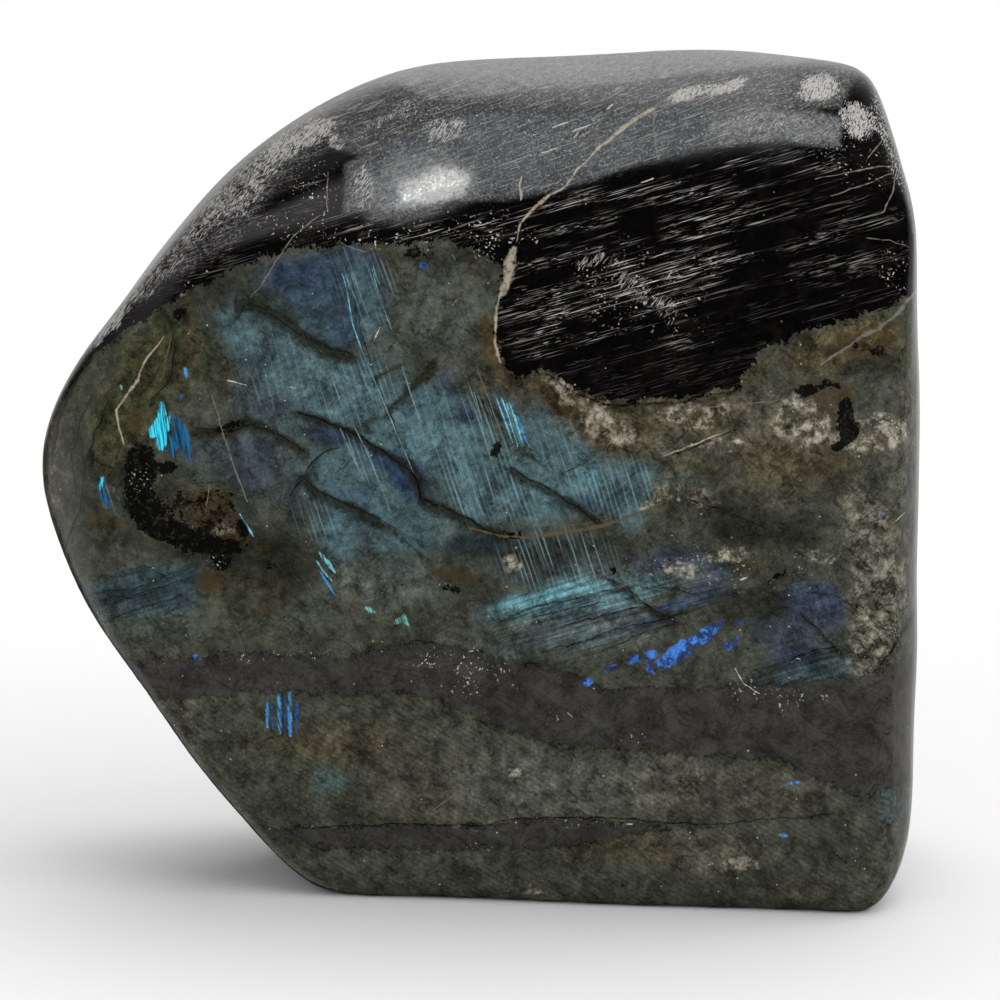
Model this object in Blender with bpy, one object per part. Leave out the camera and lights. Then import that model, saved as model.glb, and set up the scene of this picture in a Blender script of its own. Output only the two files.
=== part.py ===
"""A polished labradorite freeform: one stone, ground into broad facets, tumbled smooth and sawn flat below.

The stone stands on its sawn base. The front, which shows the blue play of colour, faces -Y, and +Z is up.
Each ground facet is a plane, given by a point that it passes through and by the way that it faces. Facets
of one side of the stone run into each other over a soft edge, and so do the sides. A box is sliced into a
grid and pushed onto that form, and the base is then cut flat.
"""

import math

import bmesh
import bpy
import numpy as np

MM = 0.001

# Driving dimensions, in millimetres
WIDTH = 150.0
HEIGHT = 140.0
THICKNESS = 64.0
HALF_WIDTH = WIDTH / 2
HALF_THICKNESS = THICKNESS / 2
BASE_CUT = 1.3  # how much of the rounded underside the saw takes off
HEART = (2.0, -2.0, 68.0)  # a point deep in the stone, from which the box is pushed onto the facets

# How softly the facets of one side, and then the sides, run into each other, in millimetres
RIM_EDGE = 2.2
FRONT_EDGE = 0.9
CROWN_EDGE = 0.8
BACK_EDGE = 3.0
SIDE_EDGE = 1.3

# A facet is (point it passes through in millimetres, azimuth, elevation). Azimuth 0 faces the front, 90 the
# right, 180 the back and -90 the left. Elevation is above the horizon. Both are in degrees.
LEFT, RIGHT = -90, 90

# The rim, from the lower right round the top to the lower left, as seen from the front
RIM = [
    ((71.2, -33, 4.0), RIGHT, -46),
    ((HALF_WIDTH + 0.4, 0, 14), RIGHT + 1, -5),
    ((HALF_WIDTH + 0.7, 0, 30), RIGHT + 2, 1.6),
    ((HALF_WIDTH - 1.0, 0, 114), RIGHT + 2, 7),
    ((HALF_WIDTH - 0.6, 0, 126), RIGHT, 17),
    ((HALF_WIDTH - 3.8, 0, 134), RIGHT, 36),
    ((-22, 5, 133.2), LEFT, 67),
    ((-38.4, 5, 126.3), LEFT, 53),
    ((-49.6, 5, 112.0), LEFT, 42),
    ((-64.2, 5, 96), LEFT, 35),
    ((-HALF_WIDTH + 1.8, 2, 80), LEFT, 17),
    ((-HALF_WIDTH - 0.3, 0, 70), LEFT, 0),
    ((-HALF_WIDTH + 1.3, -4, 57.8), LEFT, -18),
    ((-65.2, -8, 44.5), LEFT, -31.5),
    ((-52.0, -10, 27.5), LEFT, -37),
    ((-39.8, -10, 9.1), LEFT, -43),
    ((-30.4, -20, 1.4), LEFT, -66),
]

# The front: the polished face and the narrow facets that frame it, then the slab, the bevel and the slope at
# the upper left that lead to the crown, and the facet at the upper right corner
FRONT = [
    ((20, -30.0, 70), -7, 3.5),
    ((20, -32.8, 24), -7.5, -1),
    ((20, -33.2, 1.4), -7.5, -42),
    ((-67, -16.5, 70), -44, 2),
    ((-59, -12, 100), -44, 24),
    ((72, -34, 60), 42, 0),
    ((73.6, -27, 60), 66, 0),
    ((10, -25.5, 121.9), -12, 30),
    ((20, -21.2, 134.1), -9, 65),
    ((-16.4, -16.6, 126.4), -35, 50),
    ((67, -29, 123), 34, 28),
]

# The crown: the flat top, and the facet at its right corner
CROWN = [
    ((20, 11, HEIGHT + 0.2), -31, 83.3),
    ((-10, 5, HEIGHT - 2.0), LEFT, 82),
    ((50, 5, HEIGHT), RIGHT, 83),
    ((62, -17, 132), 40, 46),
]

# The back, which is rounder than the front
BACK = [
    ((0, HALF_THICKNESS - 2.5, 62), 183, 4),
    ((10, 24, 128), 178, 34),
    ((0, 17, 138.5), 180, 62),
    ((66, 22, 70), 132, 3),
    ((-58, 20, 78), 226, 12),
    ((-40, 20, 28), 218, -28),
    ((10, 27.5, 12), 180, -16),
    ((10, 23.5, 2), 180, -48),
]

# Shallow waves left by the grinding wheel: (height, length, direction in the front's plane, offset)
WAVES = [
    (0.22, 46.0, 25, 0.4),
    (0.12, 33.0, 115, 1.9),
    (0.05, 21.0, 68, 3.1),
]

# The box's grid spacing in millimetres, and the share of its triangles that the stone keeps
GRID = 2.0
KEPT_SHARE = 0.235


def outward(azimuth, elevation):
    """The unit vector that a facet faces along."""
    a, e = math.radians(azimuth), math.radians(elevation)
    return np.array([math.sin(a) * math.cos(e), -math.cos(a) * math.cos(e), math.sin(e)])


def soft_max(values, softness):
    """The largest of several heights, blended where they are nearly equal."""
    top = values.max(axis=0)
    return top + softness * np.log(np.exp((values - top) / softness).sum(axis=0))


def above_facets(points, facets, softness):
    """How far points lie outside a group of facets, in millimetres."""
    heights = [(points - np.array(through)) @ outward(azimuth, elevation) for through, azimuth, elevation in facets]
    return soft_max(np.array(heights), softness)


def grinding(points):
    """The height of the shallow waves at each point."""
    total = np.zeros(len(points))
    for height, length, direction, offset in WAVES:
        turn = math.radians(direction)
        along = points[:, 0] * math.cos(turn) + points[:, 2] * math.sin(turn) + 0.4 * points[:, 1]
        total += height * np.sin(2 * math.pi * along / length + offset)
    return total


def above_stone(points):
    """How far points lie outside the stone: 0 on its surface, negative inside."""
    sides = [
        above_facets(points, RIM, RIM_EDGE),
        above_facets(points, FRONT, FRONT_EDGE),
        above_facets(points, CROWN, CROWN_EDGE),
        above_facets(points, BACK, BACK_EDGE),
        -points[:, 2] - BASE_CUT,
    ]
    return soft_max(np.array(sides), SIDE_EDGE) - grinding(points)


def onto_stone(points):
    """Moves points along the line from the stone's heart until they lie on its surface."""
    heart = np.array(HEART)
    rays = points - heart
    near, far = np.zeros(len(points)), np.full(len(points), 2.0)
    for _ in range(40):
        middle = (near + far) / 2
        inside = above_stone(heart + rays * middle[:, None]) < 0
        near, far = np.where(inside, middle, near), np.where(inside, far, middle)
    return heart + rays * near[:, None]


def grid_lines(low, high):
    """Places of the grid lines between two sides of the box."""
    steps = round((high - low) / GRID)
    return [low + (high - low) * i / steps for i in range(1, steps)]


def sliced_box(mesh):
    """A box of the stone's outer size, sliced into a grid."""
    low = (-HALF_WIDTH, -HALF_THICKNESS, -BASE_CUT)
    high = (HALF_WIDTH, HALF_THICKNESS, HEIGHT)
    bmesh.ops.create_cube(mesh, size=1.0)
    for vertex in mesh.verts:
        vertex.co = [a if c < 0 else b for a, b, c in zip(low, high, vertex.co)]
    for axis in range(3):
        for place in grid_lines(low[axis], high[axis]):
            point = [place if i == axis else 0 for i in range(3)]
            normal = [1 if i == axis else 0 for i in range(3)]
            everything = mesh.verts[:] + mesh.edges[:] + mesh.faces[:]
            bmesh.ops.bisect_plane(mesh, geom=everything, plane_co=point, plane_no=normal)


def saw_base(mesh):
    """Cuts the rounded underside off at z = 0 and closes it with one flat face."""
    everything = mesh.verts[:] + mesh.edges[:] + mesh.faces[:]
    cut = bmesh.ops.bisect_plane(mesh, geom=everything, plane_co=(0, 0, 0), plane_no=(0, 0, -1), clear_outer=True)
    rim = [part for part in cut["geom_cut"] if isinstance(part, bmesh.types.BMEdge)]
    bmesh.ops.edgeloop_fill(mesh, edges=rim)
    bmesh.ops.recalc_face_normals(mesh, faces=mesh.faces[:])


def centre_on_base(mesh):
    """Puts the middle of the stone's width and depth over the origin."""
    for axis in (0, 1):
        places = [vertex.co[axis] for vertex in mesh.verts]
        middle = (min(places) + max(places)) / 2
        for vertex in mesh.verts:
            vertex.co[axis] -= middle


def stone_material():
    """Dark polished feldspar."""
    material = bpy.data.materials.new("polished_labradorite")
    material.use_nodes = True
    shader = material.node_tree.nodes["Principled BSDF"]
    shader.inputs["Base Color"].default_value = (0.045, 0.055, 0.055, 1.0)
    shader.inputs["Roughness"].default_value = 0.18
    shader.inputs["Metallic"].default_value = 0.0
    shader.inputs["IOR"].default_value = 1.56
    return material


def thinned(mesh, collection):
    """The same surface with fewer triangles, which stay small where it bends and grow where it is flat."""
    dense = bpy.data.meshes.new("dense")
    mesh.to_mesh(dense)
    mesh.free()
    holder = bpy.data.objects.new("dense", dense)
    collection.objects.link(holder)
    thinner = holder.modifiers.new("thinner", "DECIMATE")
    thinner.ratio = KEPT_SHARE
    graph = bpy.context.evaluated_depsgraph_get()
    result = bmesh.new()
    result.from_mesh(holder.evaluated_get(graph).data)
    bpy.data.objects.remove(holder)
    bpy.data.meshes.remove(dense)
    return result


def build_stone(collection):
    """The whole stone as one closed object."""
    mesh = bmesh.new()
    sliced_box(mesh)
    moved = onto_stone(np.array([vertex.co[:] for vertex in mesh.verts]))
    for vertex, place in zip(mesh.verts, moved):
        vertex.co = place
    mesh = thinned(mesh, collection)
    saw_base(mesh)
    centre_on_base(mesh)
    bmesh.ops.scale(mesh, vec=(MM, MM, MM), verts=mesh.verts[:])
    data = bpy.data.meshes.new("labradorite")
    mesh.to_mesh(data)
    mesh.free()
    data.materials.append(stone_material())
    data.shade_smooth()
    data.set_sharp_from_angle(angle=math.radians(35))
    stone = bpy.data.objects.new("labradorite", data)
    collection.objects.link(stone)
    return stone


def main():
    for old in list(bpy.data.objects):
        bpy.data.objects.remove(old)
    collection = bpy.data.collections.new("polished_labradorite")
    bpy.context.scene.collection.children.link(collection)
    build_stone(collection)


main()
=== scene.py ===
"""Looks for the polished labradorite: its skin, its minerals, the studio and the camera.

The stone is one piece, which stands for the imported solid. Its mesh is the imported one, made finer. Where each
mineral lies is worked out for every point of that mesh and kept on it, and the material adds the fine grain.
The front's markings are placed as the camera sees them, and the back's in millimetres across and up.
"""

import math
from itertools import zip_longest
from types import SimpleNamespace

import bmesh
import bpy
import numpy as np
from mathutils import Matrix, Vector, noise


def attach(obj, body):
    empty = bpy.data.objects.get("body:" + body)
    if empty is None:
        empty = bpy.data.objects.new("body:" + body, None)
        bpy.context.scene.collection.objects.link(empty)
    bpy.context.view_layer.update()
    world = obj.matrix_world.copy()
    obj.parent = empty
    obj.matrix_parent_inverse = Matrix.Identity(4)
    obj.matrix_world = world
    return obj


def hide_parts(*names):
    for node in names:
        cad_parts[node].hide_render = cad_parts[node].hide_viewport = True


MM = 0.001

# The camera, in metres, and its frame of 1000 by 1000 points
EYE = Vector((0.0, -0.6894, 0.1901))
AIM = Vector((0.0039, 0.0, 0.0640))
LENS = 147.0
SENSOR = 36.0
FRAME_POINTS = 1000
MM_PER_POINT = 0.1714  # on the upright plane through the stone's middle

# What the stone mirrors: the middle of each soft window's direction, the angles from there at which it starts
# to fade and has faded, in degrees, and its strength
WINDOWS = [
    ((0.02, 0.25, 0.97), 14, 31, 0.98),
    ((0.10, 1.0, 0.34), 16, 48, 0.70),
    ((0.62, 0.76, -0.20), 15, 35, 0.24),
    ((-1.0, 0.0, -0.05), 16, 44, 0.38),
    ((-0.75, 0.10, -0.65), 12, 40, 0.5),
    ((-0.34, -0.62, 0.70), 10, 32, 0.75),
]

# The light that comes from all around, and the suns: where each stands, its power and its spread in degrees
AMBIENT = 0.36
SUNS = {
    "right": ((1.00, -0.20, 0.84), 1.65, 75),
    "behind": ((0.05, 0.42, 1.0), 1.35, 50),
    "fill_left": ((-0.6, -1.0, 0.35), 0.64, 60),
    "fill_right": ((0.6, -1.0, 0.35), 0.58, 60),
}

# The floor: from its middle to its sides, its gap to the stone's base, and its tint
FLOOR_REACH = 6.0
FLOOR_GAP = 0.05 * MM
FLOOR_TINT = (0.86, 0.86, 0.86)

# The fine mesh: its grid, its smoothing, and how squarely a face looks at the camera to be split
VOXEL = 1.25 * MM
SMOOTHING = 0.5
SMOOTHING_ROUNDS = 5
SQUARE_TO_CAMERA = 0.12

# The front's markings reach back to FRONT_END, and the back's start at BACK_START, in millimetres of depth
FRONT_END = -4.0
BACK_START = 18.0

# A thin line counts up to its reach from itself, in millimetres, and lines of one layer stay apart. Only
# points within LINE_MARGIN of a line's box are measured, and the others lie FAR from it.
FRONT_REACH, BACK_REACH = 0.9, 1.7
LINES_APART = 2.6
LINE_MARGIN = 6
FAR = 99.0

# Between these depths, in millimetres, lines narrow away towards the turn from the front to the back
LINES_FADE = (-8, 16)
NARROWING = 3

# How far the lines of each family wander to either side at each step, in millimetres
SWAY = {"crack": 0.16, "flash": 0.02, "vein": 0.09}
WANDER_STEP = 1.2
LINE_SEED = 7

# How much wider than its written width a crack's shade spreads, to the right of the crack and to its left
SPREAD_RIGHT, SPREAD_LEFT = 1.25, 0.5

# How soft patches are pushed about: the size of a swirl and its reach, in millimetres. The crown's edges, the
# cracks' shades and the crisper patches follow only a share of it.
SWIRLS = [(11.0, 2.6), (3.6, 1.0)]
SWIRL_SEED = 3
EDGE_SWIRL, SHADE_SWIRL, PATCH_SWIRL = 0.25, 0.3, 0.6

# An oval covers fully up to this share of its half length and half width, and ends at the other
OVAL_CORE, OVAL_END = 0.55, 1.35

# The low band is narrower than its outline by this on each side, in millimetres
LOW_BAND_THINNED = 0.6


def tone(red, green, blue):
    """A colour from its 0 to 255 display values, as the shader's linear light."""
    parts = [c / 255 for c in (red, green, blue)]
    return tuple(c / 12.92 if c <= 0.04045 else ((c + 0.055) / 1.055) ** 2.4 for c in parts)


# Tints of the feldspar's soft shades
TINTS = {
    "body": tone(64, 66, 56),
    "moss": tone(58, 60, 40),
    "olive": tone(72, 72, 60),
    "gray": tone(72, 79, 73),
    "slate": tone(62, 76, 79),
    "steel": tone(50, 66, 80),
    "teal": tone(73, 98, 103),
    "mist": tone(84, 110, 116),
    "aqua": tone(84, 130, 138),
    "navy": tone(36, 52, 78),
    "violet": tone(48, 58, 80),
    "deep": tone(32, 46, 52),
    "shade": tone(36, 38, 29),
    "umber": tone(58, 50, 36),
    "gold": tone(82, 72, 48),
    "sand": tone(92, 90, 78),
    "ink": tone(24, 26, 22),
}

# How coarse the crystals of a shade are
COARSE = {"gold": 1.0, "sand": 1.0, "umber": 0.8, "moss": 0.55, "olive": 0.35, "ink": 0.6}

# Tints of the crown. The ground facets' grays are partly their own ground finish and partly painted reflection,
# the lighter worn places are partly painted sheen, and glare and shine are a painted highlight.
CROWN_TINTS = {
    "soot": tone(7, 6, 6),
    "top": tone(100, 101, 101),
    "bevel": tone(60, 60, 60),
    "slab": tone(66, 70, 73),
    "worn": tone(96, 98, 97),
    "glare": tone(104, 106, 107),
    "shine": tone(226, 229, 228),
    "strip": tone(30, 28, 29),
}

# Tints of the lines
BLACK = tone(8, 9, 8)
DARK_OLIVE = tone(18, 19, 12)
BROWN = tone(50, 40, 24)
CREAM = tone(166, 156, 136)
ASH = tone(112, 110, 102)
TAN = tone(92, 80, 58)
SILVER = tone(190, 186, 180)
ICE = tone(112, 182, 202)
PALE_TEAL = tone(112, 138, 142)
SKY = tone(66, 140, 200)
DEEP_BLUE = tone(28, 78, 136)
SEA_GREEN = tone(110, 176, 165)

# Tints that the material lays on by itself: single ones, and pairs of a dark and a light one
MURK = tone(37, 40, 33)
SEAM = tone(26, 27, 19)
TWIN_LIGHT = tone(138, 172, 178)
RUST = tone(66, 52, 29)
RIND_BROWN = tone(21, 16, 13)
STREAK = tone(222, 216, 208)
GRIT = tone(164, 164, 161)
# Pale scuffs, also laid as painted highlights and rim reflections
SCUFF_AND_HIGHLIGHT = tone(184, 181, 176)
FLECK = tone(205, 200, 190)
SHADE_TINTS = tone(26, 27, 18), tone(44, 45, 34)
CRYSTAL_TINTS = tone(90, 84, 68), tone(206, 200, 182)
DARK_TINTS = tone(8, 9, 8), tone(56, 50, 40)
CHARCOAL_TINTS = tone(45, 44, 43), tone(68, 66, 62)
ROYAL_TINTS = tone(34, 60, 112), tone(72, 130, 220)
SPOT_TINTS = {
    "pool": (tone(14, 50, 78), tone(38, 104, 150)),
    "glow": (tone(20, 134, 178), tone(66, 230, 250)),
}

# How strongly the polished stone bends light
FELDSPAR_IOR = 1.56

# The twin layers: how they rise, in degrees, and the spacing of the wide and the fine lines, in millimetres
TWIN_RISE = -72
WIDE_LAMELLA, FINE_LAMELLA = 1.37, 0.79

# The faint hatching low on the stone: how it rises, its spacing, and between which heights it sets in
HATCH_RISE = -30
HATCH_SPACING = 0.86
HATCH_TOP, HATCH_FULL = 44, 30

# The cells that hold a spark each, in millimetres
SPARK_SPACING = 1.6

# From here on, a place on the front is a point of the picture: across from the left and down from the top.
# The black rind over the crown: its lower edge from left to right, then round outside the stone
RIND = [
    (85, 365), (130, 330), (190, 290), (235, 270), (262, 254), (345, 244), (400, 246), (440, 240), (480, 252),
    (506, 268), (498, 310), (497, 345), (505, 370), (520, 379), (545, 371), (575, 390), (605, 402),
    (680, 400), (740, 386), (746, 368), (762, 350), (800, 335), (860, 318), (905, 300), (960, 280),
    (960, -60), (-60, -60), (-60, 440), (60, 400),
]

# The charcoal bands across the front
BAND = [
    (80, 668), (130, 664), (250, 655), (340, 660), (410, 643), (460, 650), (560, 670), (600, 688), (690, 690),
    (800, 684), (880, 672), (960, 640), (960, 760), (905, 780), (862, 797), (838, 788), (780, 757),
    (700, 755), (620, 746), (560, 745), (480, 720), (440, 701), (400, 690), (310, 694), (250, 690),
    (150, 700), (80, 700),
]
LOW_BAND = [
    (255, 826), (330, 826), (400, 823), (480, 825), (520, 819), (570, 816), (640, 824), (740, 826),
    (640, 834), (600, 846), (540, 852), (430, 850), (340, 852), (270, 842),
]

# The facets of the crown: tint, softness of the edge in millimetres, outline. Their grays are partly painted
# reflection.
CROWN_SHEETS = [
    ("strip", 3.0, [
        (60, 380), (130, 300), (200, 205), (262, 135), (335, 105), (338, 142), (300, 168), (268, 196),
        (245, 232), (200, 262), (150, 292), (110, 330),
    ]),
    ("bevel", 1.4, [
        (335, 150), (300, 60), (400, 20), (960, 20), (960, 90), (860, 66), (840, 108), (780, 110), (650, 108),
        (470, 112), (420, 138), (380, 158),
    ]),
    ("top", 1.2, [
        (330, 92), (392, 82), (430, 98), (480, 95), (540, 87), (625, 83), (700, 73), (800, 63), (850, 40),
        (330, 20),
    ]),
    ("slab", 1.2, [
        (345, 165), (400, 140), (470, 112), (650, 108), (790, 107), (842, 118), (840, 148), (770, 143),
        (700, 152), (650, 164), (590, 178), (545, 192), (500, 200), (450, 201), (345, 212),
    ]),
    # Lighter worn places, partly a painted reflection, on the slab's right end
    ("worn", 1.8, [(705, 116), (770, 110), (840, 122), (838, 140), (770, 140), (710, 144)]),
    # A painted highlight on the slab's left end: a softer patch, and a brighter one within it
    ("glare", 5.0, [
        (372, 214), (370, 190), (384, 168), (404, 154), (450, 156), (474, 172), (476, 190), (446, 204),
        (410, 214),
    ]),
    ("shine", 3.6, [
        (398, 200), (402, 188), (420, 178), (438, 170), (456, 172), (468, 180), (462, 190), (436, 197),
        (416, 201),
    ]),
    # Lighter worn places on the right rim, partly a painted reflection
    ("worn", 1.2, [(862, 70), (884, 92), (900, 150), (912, 232), (960, 240), (960, 60)]),
]

# Soft oval shades on the front, laid over each other in this order. Each oval is its middle x and y, half
# length, half width, rise in degrees and strength.
FRONT_SHADES = {
    "olive": [
        (700, 460, 120, 60, -15, 0.8), (840, 360, 90, 36, 12, 0.5), (640, 425, 60, 34, 0, 0.5),
        (150, 645, 70, 24, 0, 0.4), (520, 790, 190, 40, 0, 0.6), (740, 800, 100, 30, 0, 0.35),
        (690, 852, 70, 22, 0, 0.5), (390, 580, 80, 22, 0, 0.4),
    ],
    "moss": [
        (105, 410, 84, 50, 75, 0.95), (165, 355, 56, 42, 40, 0.9), (224, 392, 50, 20, 90, 0.5),
        (95, 500, 40, 24, 90, 0.5), (270, 620, 60, 22, 0, 0.35),
    ],
    "gray": [
        (430, 310, 62, 52, 0, 0.9), (392, 350, 34, 40, 0, 0.5), (390, 592, 80, 26, 0, 0.7),
        (560, 640, 110, 26, 8, 0.7), (150, 615, 60, 34, 0, 0.6), (240, 450, 66, 40, -10, 0.6),
        (560, 785, 110, 30, 0, 0.5), (640, 590, 120, 40, 5, 0.5), (800, 640, 80, 40, 0, 0.35),
        (300, 610, 60, 26, 0, 0.3), (262, 442, 86, 12, 32, 0.7), (250, 470, 60, 8, 30, 0.4),
    ],
    "slate": [
        (262, 335, 46, 50, 80, 0.9), (272, 395, 46, 46, 0, 0.9), (240, 470, 60, 34, -20, 0.45),
        (142, 588, 62, 28, 15, 0.85), (375, 560, 62, 34, -30, 0.5), (548, 562, 76, 26, 0, 0.7),
        (360, 440, 110, 90, -30, 0.6),
    ],
    "steel": [(300, 278, 46, 26, 10, 0.95), (352, 292, 50, 42, -70, 0.9), (318, 318, 52, 28, -28, 0.8)],
    "teal": [
        (345, 394, 48, 34, 20, 1.0), (300, 362, 42, 38, 0, 0.6), (430, 432, 52, 50, -70, 1.0),
        (386, 440, 28, 17, -50, 0.8), (482, 488, 46, 44, 0, 1.0), (345, 478, 50, 28, -12, 0.7),
        (536, 494, 52, 36, 0, 0.95), (342, 530, 42, 21, -72, 0.9), (400, 520, 54, 30, -30, 0.7),
        (620, 487, 38, 36, 0, 0.85), (560, 440, 44, 30, -60, 0.8), (492, 418, 40, 22, -70, 0.6),
        (560, 602, 80, 20, 12, 1.0), (640, 580, 54, 18, 15, 0.6), (248, 328, 28, 22, 0, 0.5),
        (370, 300, 38, 13, -70, 0.6), (812, 668, 52, 16, 15, 0.45), (150, 573, 52, 11, 18, 0.4),
        (168, 602, 46, 10, 18, 0.4), (892, 805, 22, 18, 90, 0.35), (330, 785, 24, 10, 0, 0.4),
        (660, 470, 40, 12, -30, 0.3),
    ],
    "mist": [
        (320, 372, 40, 24, 10, 0.45), (560, 640, 70, 14, 10, 0.3), (350, 396, 32, 22, 20, 0.5),
        (480, 485, 36, 26, -70, 0.7), (583, 485, 20, 20, 0, 0.55), (432, 438, 28, 28, 0, 0.25),
        (342, 466, 28, 12, 0, 0.3), (556, 600, 60, 12, 12, 0.85), (364, 300, 32, 8, -70, 0.35),
        (345, 540, 26, 12, -72, 0.3), (650, 590, 36, 8, 14, 0.4),
    ],
    "aqua": [
        (540, 598, 54, 10, 12, 0.7), (582, 483, 12, 15, 0, 0.45), (518, 420, 28, 8, -72, 0.4),
        (568, 599, 36, 5, 14, 0.7),
    ],
    "navy": [
        (395, 478, 38, 16, -38, 0.85), (332, 437, 34, 11, -20, 0.75), (352, 500, 30, 12, -30, 0.35),
        (580, 508, 15, 9, 0, 0.5), (690, 606, 54, 9, 18, 0.6), (640, 620, 44, 7, 18, 0.4),
        (780, 628, 34, 22, 0, 0.4), (252, 470, 32, 24, -20, 0.3), (188, 452, 14, 8, 90, 0.4),
    ],
    "violet": [
        (292, 270, 24, 18, 20, 0.7), (351, 258, 9, 9, 0, 0.7), (383, 254, 9, 8, 0, 0.7),
        (670, 556, 44, 12, 0, 0.6), (715, 572, 26, 12, 0, 0.6), (710, 590, 26, 10, 0, 0.5),
        (815, 605, 32, 19, -10, 0.8), (798, 645, 34, 12, 10, 0.6), (464, 408, 9, 12, 0, 0.8),
        (453, 383, 14, 6, -70, 0.5), (600, 616, 54, 8, 12, 0.3), (104, 494, 15, 9, -60, 0.6),
    ],
    "deep": [
        (152, 586, 62, 26, 15, 0.6), (800, 662, 56, 24, 15, 0.6), (474, 545, 26, 16, 0, 0.8),
        (505, 550, 24, 10, 0, 0.6), (300, 510, 28, 10, -80, 0.5),
    ],
    "shade": [
        (535, 557, 80, 13, 4, 0.5), (228, 430, 46, 8, -5, 0.6), (262, 562, 64, 36, -10, 0.7),
        (205, 302, 54, 14, 35, 0.6), (322, 345, 40, 8, -25, 0.3), (760, 525, 66, 24, -10, 0.7),
        (745, 604, 44, 20, 0, 0.6), (700, 520, 44, 14, -20, 0.5), (440, 250, 64, 12, 0, 0.5),
        (272, 312, 32, 8, -35, 0.4), (565, 655, 64, 9, 8, 0.3), (72, 470, 60, 9, 86, 0.3),
        (560, 548, 60, 10, 5, 0.35), (370, 862, 120, 22, -3, 0.15), (780, 890, 96, 18, 0, 0.5),
        (860, 360, 30, 16, 10, 0.4), (540, 640, 60, 8, 12, 0.3), (470, 590, 30, 16, 0, 0.5),
        (820, 640, 30, 14, 0, 0.3), (190, 510, 66, 40, -20, 0.5), (160, 545, 60, 12, -10, 0.5),
    ],
    "umber": [
        (484, 405, 46, 10, -72, 0.8), (482, 342, 30, 15, -80, 0.7), (502, 376, 32, 18, -30, 0.7),
        (430, 380, 28, 8, 40, 0.5), (562, 402, 44, 14, -30, 0.6), (240, 585, 40, 16, -10, 0.5),
        (330, 745, 80, 24, 0, 0.35), (600, 850, 60, 14, 0, 0.3), (860, 350, 56, 18, 18, 0.6),
        (105, 524, 28, 9, -5, 0.6), (440, 700, 60, 8, 0, 0.2), (205, 510, 48, 26, -20, 0.7),
        (190, 340, 54, 9, 80, 0.5), (148, 376, 44, 7, 72, 0.45), (216, 352, 56, 7, 86, 0.45),
        (400, 265, 54, 8, -62, 0.35), (452, 300, 50, 10, 60, 0.35), (420, 345, 50, 7, -60, 0.3),
    ],
    "gold": [
        (600, 420, 54, 26, -20, 0.8), (700, 415, 60, 22, 5, 0.6), (842, 345, 60, 22, 15, 0.8),
        (790, 450, 54, 36, 0, 0.5), (880, 560, 60, 26, 90, 0.5), (490, 348, 30, 14, -75, 0.7),
        (556, 393, 32, 15, -35, 0.8), (740, 372, 30, 16, 30, 0.6), (640, 852, 70, 16, 0, 0.3),
        (330, 745, 80, 22, 0, 0.3), (690, 470, 40, 16, 0, 0.3),
    ],
    "sand": [
        (880, 592, 84, 30, 90, 1.0), (866, 520, 40, 28, 90, 0.8), (792, 420, 60, 28, 0, 0.5),
        (846, 440, 52, 24, 0, 0.5), (700, 440, 52, 16, 0, 0.4), (612, 425, 32, 15, -20, 0.5),
        (385, 584, 60, 18, 0, 0.35), (872, 648, 42, 24, 90, 0.8), (895, 704, 34, 14, 90, 0.4),
        (54, 470, 80, 12, 88, 0.5), (904, 440, 90, 12, 90, 0.4), (370, 735, 140, 24, 0, 0.12),
        (560, 785, 160, 34, 0, 0.26), (730, 790, 110, 30, 0, 0.26), (380, 860, 110, 20, 0, 0.12),
        (700, 850, 80, 20, 0, 0.32), (800, 888, 90, 14, 0, 0.22), (180, 715, 40, 16, -60, 0.4),
    ],
    "ink": [
        (138, 480, 38, 14, -80, 0.6), (205, 545, 46, 9, 0, 0.6), (225, 515, 26, 14, 0, 0.4),
        (262, 548, 38, 24, -20, 0.6), (78, 505, 34, 10, -50, 0.5), (92, 440, 30, 8, 70, 0.4),
        (760, 520, 40, 14, -15, 0.4), (745, 560, 40, 12, -20, 0.35), (770, 600, 26, 16, 0, 0.4),
        (560, 400, 20, 8, -40, 0.4), (860, 372, 40, 8, 12, 0.4),
    ],
}

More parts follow.
